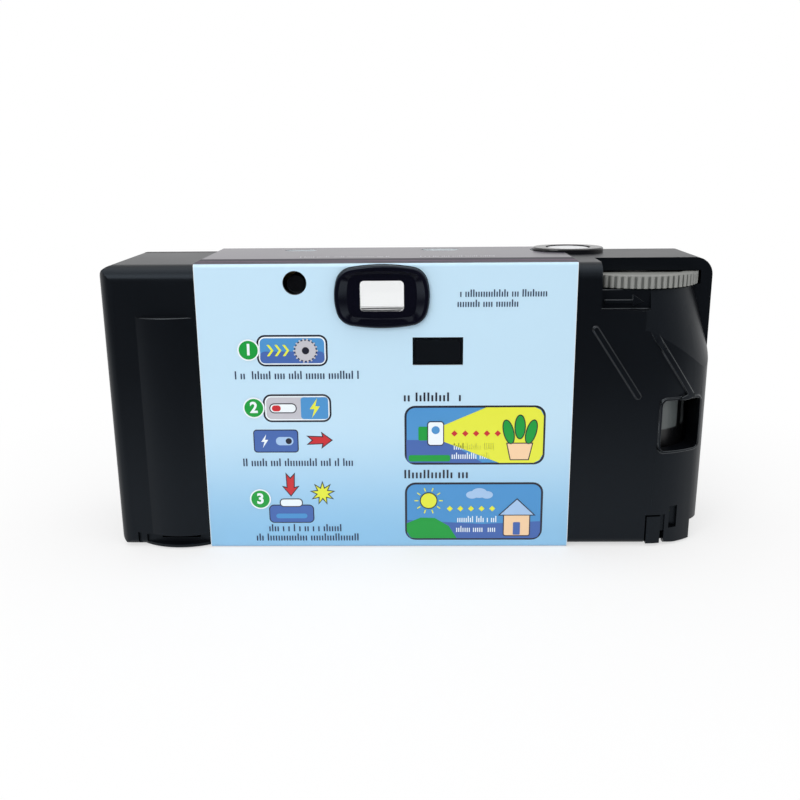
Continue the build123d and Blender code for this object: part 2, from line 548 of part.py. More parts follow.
# Film door under the cassette: plate, end wall, latch, hinge pins and cassette rests
DOOR_Y = IN_Y - FIT
END_WALL_X = DOOR_X1 - 1.3
with BuildPart() as film_door:
    with BuildSketch(Plane.XZ):
        with BuildLine():
            FilletPolyline((HINGE_X, BODY_Z0), (DOOR_X1 - 7, BODY_Z0), (DOOR_X1, BODY_Z0 + 1.3),
                           (DOOR_X1, DOOR_STEP_Z - GAP), (END_WALL_X, DOOR_STEP_Z - GAP),
                           (END_WALL_X, IN_Z0 + 0.9), (DOOR_X1 - 7, IN_Z0), (HINGE_X, IN_Z0),
                           radius=[0, 8, 1.2, 0.3, 0.3, 0.6, 8, 0], close=True)
        make_face()
    extrude(amount=DOOR_Y, both=True)
    add(case_plan(-WALL - FIT), mode=Mode.INTERSECT)
    rod_y(HINGE_X, (-DOOR_Y, DOOR_Y), HINGE_Z, HINGE_R)
    rod_y(HINGE_X, (-IN_Y - 0.8, IN_Y + 0.8), HINGE_Z, PIN_R)
    # latch tab up the rear wall, with its hooked head
    with BuildPart() as latch:
        box((LATCH_X - LATCH_W / 2, LATCH_X + LATCH_W / 2), (-BODY_Y + 0.2, -DOOR_Y + 1),
            (BODY_Z0 + 0.2, IN_Z0))
        box((LATCH_X - LATCH_W / 2, LATCH_X + LATCH_W / 2), (-CASE_D, -IN_Y - 0.45),
            (BODY_Z0 + 0.2, LATCH_TOP))
        add(case_plan(0.12), mode=Mode.INTERSECT)
    # two curved rests hold the cassette up
    with BuildSketch(Plane.XY.offset(IN_Z0 - 0.3)):
        with Locations((WHEEL_X, WHEEL_Y)):
            Circle(CASSETTE_R - 1.5)
            Circle(CASSETTE_R - 2.7, mode=Mode.SUBTRACT)
            Rectangle(7, 2 * CASSETTE_R, mode=Mode.SUBTRACT)
            Rectangle(18, 2 * CASSETTE_R, mode=Mode.INTERSECT)
    extrude(amount=CASSETTE_Z0 - GAP - IN_Z0 + 0.3)
save(film_door, "film_door")

# Thumbwheel: knurled rim, hub in the cover's bearing and a flat key for the spool
KEY_R = 2.8
KEY_T = 2.0
KEY_Z = CASSETTE_Z1 - 5.0
HUB_Z = CASSETTE_Z1 + 0.4
KNURL_R = 0.46             # radius of one rounded rib of the knurled rim
with BuildPart() as thumbwheel:
    with BuildSketch(Plane.XY.offset(WHEEL_Z)):
        Circle(WHEEL_R - 0.4)
        with PolarLocations(WHEEL_R - KNURL_R, WHEEL_TEETH):
            Circle(KNURL_R)
    extrude(amount=WHEEL_T)
    post(0, 0, (HUB_Z, WHEEL_Z), HUB_R)
    with BuildSketch(Plane.XY.offset(KEY_Z)):
        Circle(KEY_R)
        Rectangle(2 * KEY_R, KEY_T, mode=Mode.INTERSECT)
    extrude(amount=HUB_Z - KEY_Z)
    # dished web between rim and hub
    with BuildSketch(Plane.XY.offset(WHEEL_Z + WHEEL_T)):
        Circle(WHEEL_R - 2.2)
        Circle(HUB_R - 2.0, mode=Mode.SUBTRACT)
    extrude(amount=-0.8, mode=Mode.SUBTRACT)
thumbwheel.part = thumbwheel.part.moved(Location((WHEEL_X, WHEEL_Y, 0)))
save(thumbwheel, "thumbwheel")

# Cassette: rolled sheet shell with its film mouth, two crimped caps and the felts
SHELL_R = CASSETTE_R - 0.3
SHELL_T = 0.4
CAP_H = 1.6
CAP_T = 0.5
MOUTH_X = SPROCKET_X + 5.4
LIP_Y0 = WHEEL_Y - SHELL_R
LIP_Y1 = FILM_Y + 0.75
SHELL_Z0 = CASSETTE_Z0 + CAP_T + 0.05
SHELL_Z1 = CASSETTE_Z1 - CAP_T - 0.05
with BuildPart() as cassette_shell:
    with BuildSketch(Plane.XY.offset(SHELL_Z0)):
        with Locations((WHEEL_X, WHEEL_Y)):
            Circle(SHELL_R)
        with BuildLine():
            Polyline((MOUTH_X, LIP_Y0), (WHEEL_X, LIP_Y0), (WHEEL_X, LIP_Y0 + 3),
                     (WHEEL_X - 7, LIP_Y1 + 0.3), (MOUTH_X, LIP_Y1), close=True)
        make_face()
        with Locations((WHEEL_X, WHEEL_Y)):
            Circle(SHELL_R - SHELL_T, mode=Mode.SUBTRACT)
        with Locations(((MOUTH_X + WHEEL_X) / 2 - 1, FILM_Y)):
            Rectangle(WHEEL_X - MOUTH_X, 0.9, mode=Mode.SUBTRACT)
    extrude(amount=SHELL_Z1 - SHELL_Z0)
save(cassette_shell, "cassette_shell")

cap_ends = (("cassette_top_cap", CASSETTE_Z1, -1), ("cassette_bottom_cap", CASSETTE_Z0, 1))
for name, face_z, inward in cap_ends:
    with BuildPart() as cap:
        with BuildSketch(Plane.XY.offset(face_z)):
            with Locations((WHEEL_X, WHEEL_Y)):
                Circle(CASSETTE_R)
        extrude(amount=inward * CAP_H)
        with BuildSketch(Plane.XY.offset(face_z + inward * CAP_T)):
            with Locations((WHEEL_X, WHEEL_Y)):
                Circle(SHELL_R + 0.02)
            with Locations((WHEEL_X - CASSETTE_R, WHEEL_Y - CASSETTE_R)):
                Rectangle(2 * CASSETTE_R, 9)
        extrude(amount=inward * CAP_H, mode=Mode.SUBTRACT)
        post(WHEEL_X, WHEEL_Y, (CASSETTE_Z0 - 1, CASSETTE_Z1 + 1), SPOOL_R + 0.3,
             mode=Mode.SUBTRACT)
    save(cap, name)

with BuildPart() as light_trap_felts:
    for y in (FILM_Y - 0.45, FILM_Y + 0.45 - 0.25):
        box((MOUTH_X + 0.2, MOUTH_X + 5.2), (y, y + 0.25), (SHELL_Z0 + 0.5, SHELL_Z1 - 0.5))
save(light_trap_felts, "light_trap_felts")

with BuildPart() as cassette_spool:
    post(WHEEL_X, WHEEL_Y, (CASSETTE_Z0 + 0.4, CASSETTE_Z1 - 0.2), SPOOL_R)
    for z in (SHELL_Z0 + 0.8, SHELL_Z1 - 1.6):
        post(WHEEL_X, WHEEL_Y, (z, z + 0.8), SHELL_R - SHELL_T - GAP)
    post(WHEEL_X, WHEEL_Y, (KEY_Z - 0.4, CASSETTE_Z1), KEY_R + FIT, mode=Mode.SUBTRACT)
    post(WHEEL_X, WHEEL_Y, (CASSETTE_Z0, CASSETTE_Z0 + 5), KEY_R + FIT, mode=Mode.SUBTRACT)
save(cassette_spool, "cassette_spool")

# Film: the strip over the gate, the unexposed roll and its core
STRIP_CUT = SPROCKET_TIP_R + GAP
with BuildPart() as film_strip:
    with BuildSketch(rear_plane(FILM_Y + FILM_T / 2)):
        with Locations(((ROLL_X + MOUTH_X + 3) / 2, LENS_Z)):
            Rectangle(MOUTH_X + 3 - ROLL_X, FILM_W)
        # perforations along both edges, and the run that the sprocket's teeth sweep
        steps = int((SPROCKET_X - ROLL_X) / PERFORATION_PITCH / 2) - 1
        middle = (ROLL_X + SPROCKET_X - STRIP_CUT) / 2
        with Locations((middle, LENS_Z)):
            with GridLocations(2 * PERFORATION_PITCH, FILM_W - 4.0, steps, 2):
                Rectangle(2.8, 1.98, mode=Mode.SUBTRACT)
        with Locations((SPROCKET_X, SPROCKET_Z)):
            Rectangle(2 * STRIP_CUT, 1.98 + GAP, mode=Mode.SUBTRACT)
    extrude(amount=FILM_T)
save(film_strip, "film_strip")

CORE_R = 3.0
CORE_PIVOT_R = 1.6
CORE_LIP_T = 0.4
with BuildPart() as film_roll:
    post(ROLL_X, ROLL_Y, (FILM_Z0, FILM_Z1), ROLL_R)
    for z, inward in ((FILM_Z0, 1), (FILM_Z1, -1)):
        with BuildSketch(Plane.XY.offset(z)):
            with Locations((ROLL_X, ROLL_Y)):
                for radius in (4.6, 6.0, 7.4):
                    Circle(radius + 0.12)
                    Circle(radius - 0.12, mode=Mode.SUBTRACT)
        extrude(amount=inward * 0.3, mode=Mode.SUBTRACT)
    post(ROLL_X, ROLL_Y, (FILM_Z0 - 1, FILM_Z1 + 1), CORE_R + 0.02, mode=Mode.SUBTRACT)
save(film_roll, "film_roll")

with BuildPart() as supply_core:
    post(ROLL_X, ROLL_Y, (FILM_Z0 - 0.1, FILM_Z1 + 0.1), CORE_R)
    for z in (FILM_Z0 - 0.1 - CORE_LIP_T, FILM_Z1 + 0.1):
        post(ROLL_X, ROLL_Y, (z, z + CORE_LIP_T), CORE_R + 0.8)
    post(ROLL_X, ROLL_Y, (0, CASE_H), CORE_PIVOT_R + 0.06, mode=Mode.SUBTRACT)
save(supply_core, "supply_core")

# Main frame: gate plate, light cone, shutter wall, deck, roll chamber, posts and feet
PLATE_T = 1.5
PLATE_Y = FILM_Y + FILM_T / 2 + FIT
RAIL_H = 0.2
CONE_Y1 = IN_Y - 5.0
CONE_W = 8.6
CONE_T = 1.2
WALL_T = 1.3
ROLL_WALL_R = ROLL_R + 1.3
ROLL_WALL_T = 1.0
SHELF_Z = SPROCKET_Z - 3.2
LEVER_Y = BUTTON_Y - 4.2
LEVER_Z = BUTTON_Z0 - 5.5
LEVER_PIN_R = 0.8
LEVER_X0 = CHAMBER_LEFT - 2.6
LEVER_X1 = CHAMBER_LEFT - GAP
KICK_X = 16.6
KICK_Y = CONE_Y1 - 4.6
KICK_POST_R = 1.2
DIAL_POST_R = 1.5
DIAL_Z = CASE_H - 3.8
DIAL_T = 1.2
DRIVER_Z = DIAL_Z
CAM_Z = DECK_Z + 0.6
SHAFT_R = 1.6
BLADE_X = 7.4
BLADE_Z = 35.0
FOOT_H = IN_Z0 + FIT
FRAME_Z0 = FILM_Z0 - 2.2
SHUTTER_WALL_Z0 = 17.6
DECK_X0 = -12.4
with BuildPart() as main_frame:
    plate_x0 = ROLL_X + ROLL_R - 1.1
    plate_x1 = MOUTH_X - GAP
    box((plate_x0, plate_x1), (PLATE_Y + RAIL_H, PLATE_Y + PLATE_T), (FRAME_Z0, DECK_Z))
    for z in (LENS_Z - GATE_H / 2 - 1.6, LENS_Z + GATE_H / 2):
        box((-GATE_W / 2 - 4, MOUTH_X - 6), (PLATE_Y, PLATE_Y + RAIL_H), (z, z + 1.6))
    for reach, mode in ((CONE_T, Mode.ADD), (0, Mode.SUBTRACT)):
        for y, width, height in ((PLATE_Y - 0.01, GATE_W, GATE_H), (CONE_Y1, CONE_W, CONE_W)):
            with BuildSketch(rear_plane(y + (0.3 if mode == Mode.ADD else 0))):
                with Locations((0, LENS_Z)):
                    Rectangle(width + 2 * reach, height + 2 * reach)
        loft(mode=mode)
    # shutter wall and deck
    box((DECK_X0, KICK_X + 3), (CONE_Y1, CONE_Y1 + WALL_T), (SHUTTER_WALL_Z0, DECK_Z))
    rod_y(0, (CONE_Y1 - 1, CONE_Y1 + 3), LENS_Z, APERTURE_R + 1, mode=Mode.SUBTRACT)
    box((DECK_X0, plate_x1), (PLATE_Y + RAIL_H, CONE_Y1 + WALL_T), (DECK_Z - DECK_T, DECK_Z))
    # film roll chamber: curved wall, floor and ceiling with the core's pivots
    with BuildSketch(Plane.XY.offset(FRAME_Z0)):
        with Locations((ROLL_X, ROLL_Y)):
            Circle(ROLL_WALL_R + ROLL_WALL_T)
            Circle(ROLL_WALL_R, mode=Mode.SUBTRACT)
        with Locations((ROLL_X, PLATE_Y + RAIL_H - CASE_D / 2)):
            Rectangle(CASE_D, CASE_D, mode=Mode.SUBTRACT)
    extrude(amount=DECK_Z - FRAME_Z0)
    for z in (FRAME_Z0, DECK_Z - 0.8):
        with BuildSketch(Plane.XY.offset(z)):
            with Locations((ROLL_X, ROLL_Y)):
                Circle(ROLL_WALL_R + ROLL_WALL_T)
            with Locations((ROLL_X, PLATE_Y + RAIL_H - CASE_D / 2)):
                Rectangle(CASE_D, CASE_D, mode=Mode.SUBTRACT)
        extrude(amount=0.8)
    for z0, z1 in ((FRAME_Z0, FRAME_Z0 + 4), (DECK_Z - 4.4, DECK_Z)):
        post(ROLL_X, ROLL_Y, (z0, z1), CORE_PIVOT_R)
    # sprocket pocket with its lower bearing shelf, upper bearing in the deck
    box((SPROCKET_X - 3, plate_x1), (PLATE_Y + 1, SPROCKET_Y + 3), (SHELF_Z - 1.2, SHELF_Z))
    box((SPROCKET_X - STRIP_CUT, plate_x1 + 1), (PLATE_Y - 1, PLATE_Y + PLATE_T + 0.1),
        (SHELF_Z, DECK_Z - DECK_T), mode=Mode.SUBTRACT)
    post(SPROCKET_X, SPROCKET_Y, (SHELF_Z - 3, DECK_Z + 1), SHAFT_R + 0.06, mode=Mode.SUBTRACT)
    # posts for the counter, the shutter drive lever and the blade; arm for the metering lever
    post(DIAL_X, DIAL_Y, (DECK_Z - 0.5, DIAL_Z + DIAL_T), DIAL_POST_R)
    post(KICK_X, KICK_Y, (DECK_Z - 0.5, DECK_Z + 6.0), KICK_POST_R)
    rod_y(BLADE_X, (CONE_Y1 + WALL_T - 0.3, CONE_Y1 + WALL_T + 1.4), BLADE_Z, 0.7)
    box((LEVER_X0 - 1.6, LEVER_X0 - GAP), (LEVER_Y - 1.6, LEVER_Y + 1.6),
        (DECK_Z - 0.5, LEVER_Z + 1.4))
    rod_x((LEVER_X0 - 1.6, LEVER_X1), LEVER_Y, LEVER_Z, LEVER_PIN_R)
    # feet on the floor of the case, pads against the rear wall and the roof
    for x in (plate_x0 + 2.0, -GATE_W / 2 - 4, GATE_W / 2 + 3):
        box((x, x + 2.4), (PLATE_Y + RAIL_H, PLATE_Y + 4), (FOOT_H, FRAME_Z0 + 1))
    for x in (DECK_X0 - 4, 12.0):
        box((x, x + 2.0), (PLATE_Y + RAIL_H, PLATE_Y + 3.0), (DECK_Z - 2, IN_Z1 - FIT))
save(main_frame, "main_frame")

# Film sprocket: toothed drum, shaft, cocking cam and the single tooth that steps the counter
DRIVER_R = hypot(SPROCKET_X - DIAL_X, SPROCKET_Y - DIAL_Y) - DIAL_R - GAP
SPROCKET_T = 2.2
with BuildPart() as film_sprocket:
    with BuildSketch(Plane.XY.offset(SPROCKET_Z - SPROCKET_T / 2)):
        Circle(SPROCKET_R - 0.15)
        with PolarLocations(SPROCKET_R, SPROCKET_TEETH, start_angle=-90):
            Rectangle(1.6, 1.5)
    extrude(amount=SPROCKET_T)
    post(0, 0, (SHELF_Z - 1.0, DRIVER_Z + DIAL_T), SHAFT_R)
    with BuildSketch(Plane.XY.offset(CAM_Z)):
        Circle(2.6)
        with Locations((1.1, 0)):
            Circle(2.6)
    extrude(amount=1.6)
    with BuildSketch(Plane.XY.offset(DRIVER_Z)):
        Circle(DRIVER_R - 1.3)
        with Locations((-DRIVER_R + 0.9, 0)):
            Rectangle(1.8, 0.9)
    extrude(amount=DIAL_T)
film_sprocket.part = film_sprocket.part.moved(Location((SPROCKET_X, SPROCKET_Y, 0)))
save(film_sprocket, "film_sprocket")

# Counter disc, a toothed rim on a hub that turns on the frame's post
with BuildPart() as counter_dial:
    with BuildSketch(Plane.XY.offset(DIAL_Z)):
        with Locations((DIAL_X, DIAL_Y)):
            Circle(DIAL_R)
            with PolarLocations(DIAL_R, DIAL_TEETH):
                RegularPolygon(0.5, 3, rotation=180, mode=Mode.SUBTRACT)
    extrude(amount=DIAL_T)
    post(DIAL_X, DIAL_Y, (DIAL_Z - 3, DIAL_Z), DIAL_POST_R + 1.0)
    post(DIAL_X, DIAL_Y, (0, CASE_H), DIAL_POST_R + 0.06, mode=Mode.SUBTRACT)
save(counter_dial, "counter_dial")

# Clear windows of the counter and of the ready lamp, set in the top
for name, (x, length, width) in zip(("lamp_window", "counter_window"), top_windows):
    with BuildPart() as window:
        with BuildSketch(Plane.XY.offset(IN_Z1 - 0.5)):
            with Locations((x, TOP_WINDOW_Y)):
                SlotOverall(length + 1.2, width + 1.2)
        extrude(amount=0.5)
        with BuildSketch(Plane.XY.offset(IN_Z1)):
            with Locations((x, TOP_WINDOW_Y)):
                SlotOverall(length - FIT, width - FIT)
        extrude(amount=WALL)
    save(window, name)

# Metering lever: pressed down by the button, its nose lifts off the cocked mechanism
with BuildPart() as metering_lever:
    with BuildSketch(Plane.YZ.offset(LEVER_X0)):
        with BuildLine():
            FilletPolyline((LEVER_Y - 7.0, LEVER_Z - 0.4), (LEVER_Y, LEVER_Z - 1.0),
                           (LEVER_Y + 7.8, LEVER_Z - 1.0), (LEVER_Y + 7.8, LEVER_Z + 1.4),
                           (LEVER_Y + 5.4, LEVER_Z + 1.4), (LEVER_Y + 4.4, LEVER_Z + 0.4),
                           (LEVER_Y, LEVER_Z + 0.8), (LEVER_Y - 7.0, LEVER_Z + 0.6),
                           radius=[0.2, 2, 0.3, 0.3, 0.3, 0.5, 2, 0.2], close=True)
        make_face()
        with Locations((LEVER_Y, LEVER_Z)):
            Circle(LEVER_PIN_R + 0.8)
            Circle(LEVER_PIN_R + 0.06, mode=Mode.SUBTRACT)
    extrude(amount=LEVER_X1 - LEVER_X0)
save(metering_lever, "metering_lever")

# Shutter button with its leg, in an oval collar
LEG_X = (LEVER_X0 + LEVER_X1) / 2
LEG_Y = LEVER_Y + 6.6
LEG_Z = LEVER_Z + 1.4 + GAP
DISH_R = 30.0
with BuildPart() as shutter_button:
    post(BUTTON_X, BUTTON_Y, (BUTTON_Z0, BUTTON_TOP), BUTTON_R)
    fillet(shutter_button.edges().sort_by(Axis.Z)[-1], 0.5)
    post(BUTTON_X, BUTTON_Y, (BUTTON_Z0, BUTTON_Z0 + 0.5), BUTTON_R + 0.4)
    with Locations((BUTTON_X, BUTTON_Y, BUTTON_TOP + DISH_R - 0.35)):
        Sphere(DISH_R, mode=Mode.SUBTRACT)
    box((LEG_X - 0.5, BUTTON_X - BUTTON_R + 2.2), (LEG_Y - 1.0, LEG_Y + 1.0),
        (LEG_Z, BUTTON_Z0 + FIT))
save(shutter_button, "shutter_button")

COLLAR_TOP = CASE_H + 0.6
with BuildPart() as shutter_collar:
    with BuildSketch(Plane.XY.offset(BODY_Z1)):
        with Locations((BUTTON_X, BUTTON_Y)):
            SlotOverall(COLLAR_L, COLLAR_W)
    extrude(amount=COLLAR_TOP - BODY_Z1)
    fillet(shutter_collar.edges().group_by(Axis.Z)[-1], 0.35)
    post(BUTTON_X, BUTTON_Y, (BUTTON_Z0 + 2 * FIT, BODY_Z1), BUTTON_R + 1.4)
    post(BUTTON_X, BUTTON_Y, (IN_Z1 - 1, CASE_H + 2), BUTTON_R + FIT, mode=Mode.SUBTRACT)
    post(BUTTON_X, BUTTON_Y, (IN_Z1 - 1, BUTTON_Z0 + 0.5 + FIT), BUTTON_R + 0.55,
         mode=Mode.SUBTRACT)
save(shutter_collar, "shutter_collar")

# Shutter: blade, kicking lever, springs and the plate that covers the blade
BLADE_Y = CONE_Y1 + WALL_T + 0.3
BLADE_T = 0.35
TAB_X = 11.8
TAB_Z = DECK_Z + 1.7
with BuildPart() as shutter_blade:
    with BuildSketch(rear_plane(BLADE_Y + BLADE_T)):
        with Locations((0.3, LENS_Z)):
            Ellipse(4.2, 3.6)
        with BuildLine():
            Polyline((-2.0, LENS_Z + 3.0), (BLADE_X - 1.6, BLADE_Z + 0.6), (TAB_X - 0.7, TAB_Z),
                     (TAB_X + 0.7, TAB_Z), (BLADE_X + 1.7, BLADE_Z - 0.8), (3.6, LENS_Z + 0.4),
                     close=True)
        make_face()
        with Locations((BLADE_X, BLADE_Z)):
            Circle(1.9)
            Circle(0.76, mode=Mode.SUBTRACT)
    extrude(amount=BLADE_T)
save(shutter_blade, "shutter_blade")

KICK_Z = DECK_Z + GAP
KICK_T = 1.2
KICK_TIP_X = TAB_X + 5.0
with BuildPart() as drive_lever:
    with BuildSketch(Plane.XY.offset(KICK_Z)):
        with Locations((KICK_X, KICK_Y)):
            Circle(2.4)
        with BuildLine():
            Polyline((KICK_X - 2.2, KICK_Y + 0.6), (KICK_TIP_X - 0.8, BLADE_Y + BLADE_T + 0.4),
                     (KICK_TIP_X + 0.8, BLADE_Y + BLADE_T + 0.4), (KICK_X + 2.0, KICK_Y + 1.0),
                     close=True)
        make_face()
        with BuildLine():
            Polyline((KICK_X + 0.5, KICK_Y + 1.6), (KICK_X + 6.4, KICK_Y - 3.4),
                     (KICK_X + 5.6, KICK_Y - 4.4), (KICK_X - 0.5, KICK_Y - 1.6), close=True)
        make_face()
        with Locations((KICK_X, KICK_Y)):
            Circle(KICK_POST_R + 0.06, mode=Mode.SUBTRACT)
    extrude(amount=KICK_T)
save(drive_lever, "drive_lever")


def coil(name, centre, axis, radius, wire_r, turns, length):
    """A wound spring: one unbroken wire round an axis, flattened to the run given."""
    plane = Plane(origin=centre, z_dir=axis)
    with BuildPart() as spring:
        with BuildLine(plane):
            path = Helix(pitch=length / turns, height=length, radius=radius)
        with BuildSketch(Plane(origin=path @ 0, z_dir=path % 0)):
            RegularPolygon(wire_r, 6)
        sweep(path=path, is_frenet=True)
    least_gap = length / turns - 2 * wire_r
    print(name, "turns", turns, "least gap", round(least_gap, 2))
    save(spring, name)


coil("drive_spring", (KICK_X, KICK_Y, KICK_Z + KICK_T + 0.4), (0, 0, 1), 1.75, 0.2, 4, 3.4)
coil("metering_spring", (LEG_X - 0.5, LEG_Y - 0.9, DECK_Z + 0.25), (0, 0, 1), 1.0, 0.16, 5, 2.6)

SHUTTER_PLATE_Y = BLADE_Y + BLADE_T + 0.35
with BuildPart() as shutter_plate:
    with BuildSketch(rear_plane(SHUTTER_PLATE_Y + 1.0)):
        with Locations((1.5, LENS_Z + 3.4)):
            RectangleRounded(SHUTTER_PLATE_W, SHUTTER_PLATE_H, 1.5)
    extrude(amount=1.0)
    rod_y(0, (SHUTTER_PLATE_Y + 0.9, IN_Y - 0.9), LENS_Z, LENS_R + 1.0)
    rod_y(0, (SHUTTER_PLATE_Y + 1.0, CASE_D), LENS_Z, LENS_R + 0.04, mode=Mode.SUBTRACT)
    rod_y(0, (0, CASE_D), LENS_Z, APERTURE_R, mode=Mode.SUBTRACT)
    rod_y(BLADE_X, (0, CASE_D), BLADE_Z, 0.76, mode=Mode.SUBTRACT)
    # spacers that stand on the shutter wall beside the blade
    for x in (-8.4, 11.4):
        box((x, x + 1.6), (CONE_Y1 + WALL_T + 0.02, SHUTTER_PLATE_Y + 0.1),
            (LENS_Z - 7, LENS_Z - 2))
save(shutter_plate, "shutter_plate")

# Taking lens, its retainer and the ring around it on the front cover
LENS_Y = IN_Y - 0.75
with BuildPart() as taking_lens:
    with BuildSketch(Plane.XY):
        with BuildLine():
            TangentArc((0, LENS_Y + 2.4), (LENS_R, LENS_Y + 1.35), tangent=(1, 0))
            Line((LENS_R, LENS_Y + 1.35), (LENS_R, LENS_Y))
            TangentArc((0, LENS_Y + 0.7), (LENS_R, LENS_Y), tangent=(1, 0))
            Line((0, LENS_Y + 0.7), (0, LENS_Y + 2.4))
        make_face()
    revolve(axis=Axis.Y)
taking_lens.part = taking_lens.part.moved(Location((0, 0, LENS_Z)))
save(taking_lens, "taking_lens")

with BuildPart() as lens_retainer:
    with BuildSketch(Plane.XY):
        with BuildLine():
            y0, y1 = IN_Y - 0.85, BODY_Y + 0.5
            Polyline((LENS_R + 0.06, y0), (LENS_R + 1.5, y0), (LENS_R + 1.5, y1),
                     (LENS_R - 0.6, y1), (LENS_R - 0.6, y1 - 0.5), (LENS_R + 0.06, y1 - 0.9),
                     close=True)
        make_face()
    revolve(axis=Axis.Y)
lens_retainer.part = lens_retainer.part.moved(Location((0, 0, LENS_Z)))
save(lens_retainer, "lens_retainer")

with BuildPart() as lens_ring:
    with BuildSketch(Plane.XY):
        with BuildLine():
            y0, y1 = BODY_Y + 0.7, MOUNT_TOP + 0.8
            FilletPolyline((LENS_R + 0.6, y0), (LENS_RING_R - 0.08, y0), (LENS_RING_R - 0.08, y1),
                           (LENS_RING_R - 1.4, y1), (LENS_R + 0.6, y0 + 0.5),
                           radius=[0, 0, 0.5, 0.4, 0], close=True)
        make_face()
    revolve(axis=Axis.Y)
lens_ring.part = lens_ring.part.moved(Location((0, 0, LENS_Z)))
save(lens_ring, "lens_ring")

# Flash unit: circuit board with a tongue for the ready lamp, and what is soldered to it
BOARD_T = 1.2
BOARD_Y = ROLL_Y + ROLL_WALL_R + ROLL_WALL_T + 0.85
BOARD_X1 = FLASH_X + 15.0
BOARD_TOP = FLASH_Z - FLASH_H / 2 - 1.2
CELL_Z = IN_Z0 + CELL_R + GAP
CELL_Y = IN_Y - CELL_R - 0.4
CELL_X0 = BOARD_X1 + 2.4
CELL_X1 = CELL_X0 + CELL_L
with BuildPart() as flash_board:
    box((-IN_X + 1, BOARD_X1), (BOARD_Y, BOARD_Y + BOARD_T), (IN_Z0 + 1, BOARD_TOP))
    box((BOARD_X1 - 1, LAMP_X + 2.4), (BOARD_Y, BOARD_Y + BOARD_T), (BOARD_TOP - 14, LAMP_Z + 0.8))
    rod_y(-IN_X + 4, (0, CASE_D), IN_Z0 + 4, 1.1, mode=Mode.SUBTRACT)
save(flash_board, "flash_board")

CAPACITOR_X = BOARD_X1 - 2.6
CAPACITOR_Y = BOARD_Y - GAP - CAPACITOR_R
CAPACITOR_Z = 17.0
with BuildPart() as flash_capacitor:
    post(CAPACITOR_X, CAPACITOR_Y, (CAPACITOR_Z, CAPACITOR_Z + CAPACITOR_L), CAPACITOR_R)
    fillet(flash_capacitor.edges().group_by(Axis.Z)[-1], 0.6)
    # rolled neck near the sealed end, and the two leads bent to the board
    with BuildSketch(Plane.XZ) as neck_profile:
        with Locations((CAPACITOR_R, CAPACITOR_Z + 2.4)):
            Circle(0.45)
    neck = revolve(neck_profile.sketch, axis=Axis.Z, mode=Mode.PRIVATE)
    add(neck.moved(Location((CAPACITOR_X, CAPACITOR_Y, 0))), mode=Mode.SUBTRACT)
    for x in (-1.8, 1.8):
        box((CAPACITOR_X + x - 0.3, CAPACITOR_X + x + 0.3),
            (CAPACITOR_Y, BOARD_Y - FIT), (CAPACITOR_Z - 1.2, CAPACITOR_Z - 0.6))
        box((CAPACITOR_X + x - 0.3, CAPACITOR_X + x + 0.3),
            (CAPACITOR_Y - 0.3, CAPACITOR_Y + 0.3), (CAPACITOR_Z - 1.2, CAPACITOR_Z + 0.2))
save(flash_capacitor, "flash_capacitor")

COIL_X = CAPACITOR_X - 2.6
COIL_Z = IN_Z0 + 2.65
with BuildPart() as flash_transformer:
    box((COIL_X - TRANSFORMER_W / 2, COIL_X + TRANSFORMER_W / 2),
        (BOARD_Y - 0.9 * TRANSFORMER_W, BOARD_Y - FIT), (COIL_Z, COIL_Z + TRANSFORMER_W))
    fillet(flash_transformer.edges().filter_by(Axis.Y), 0.6)
    for z in (COIL_Z + 1.4, COIL_Z + TRANSFORMER_W - 1.4):
        with BuildSketch(Plane.XY.offset(z - 0.4)):
            with Locations((COIL_X, BOARD_Y - 0.45 * TRANSFORMER_W)):
                Rectangle(TRANSFORMER_W + 2, TRANSFORMER_W + 2)
                Rectangle(TRANSFORMER_W - 1, TRANSFORMER_W - 1.6, mode=Mode.SUBTRACT)
        extrude(amount=0.8, mode=Mode.SUBTRACT)
save(flash_transformer, "flash_transformer")

REFLECTOR_Y0 = BOARD_Y - 0.4
REFLECTOR_Y1 = IN_Y - FIT
REFLECTOR_T = 0.45
TUBE_R = 1.3
TUBE_Y = REFLECTOR_Y0 + TUBE_R + 0.75
with BuildPart() as flash_reflector:
    for grow, mode in ((REFLECTOR_T, Mode.ADD), (0, Mode.SUBTRACT)):
        for y, width, height in ((REFLECTOR_Y1, FLASH_W - 1, FLASH_H - 1),
                                 (REFLECTOR_Y0 + REFLECTOR_T - grow, FLASH_W - 3, 3.6)):
            with BuildSketch(rear_plane(y)):
                with Locations((FLASH_X, FLASH_Z)):
                    RectangleRounded(width + 2 * grow, height + 2 * grow, 0.8)
        loft(mode=mode)
    rod_x((FLASH_X - FLASH_W, FLASH_X + FLASH_W), TUBE_Y, FLASH_Z, TUBE_R + 0.05,
          mode=Mode.SUBTRACT)
save(flash_reflector, "flash_reflector")

with BuildPart() as flash_tube:
    rod_x((FLASH_X - FLASH_W / 2 - 0.4, FLASH_X + FLASH_W / 2 + 0.4), TUBE_Y, FLASH_Z, TUBE_R)
    for x in (FLASH_X - FLASH_W / 2 - 1.4, FLASH_X + FLASH_W / 2 + 0.4):
        rod_x((x, x + 1.0), TUBE_Y, FLASH_Z, 0.6)
save(flash_tube, "flash_tube")

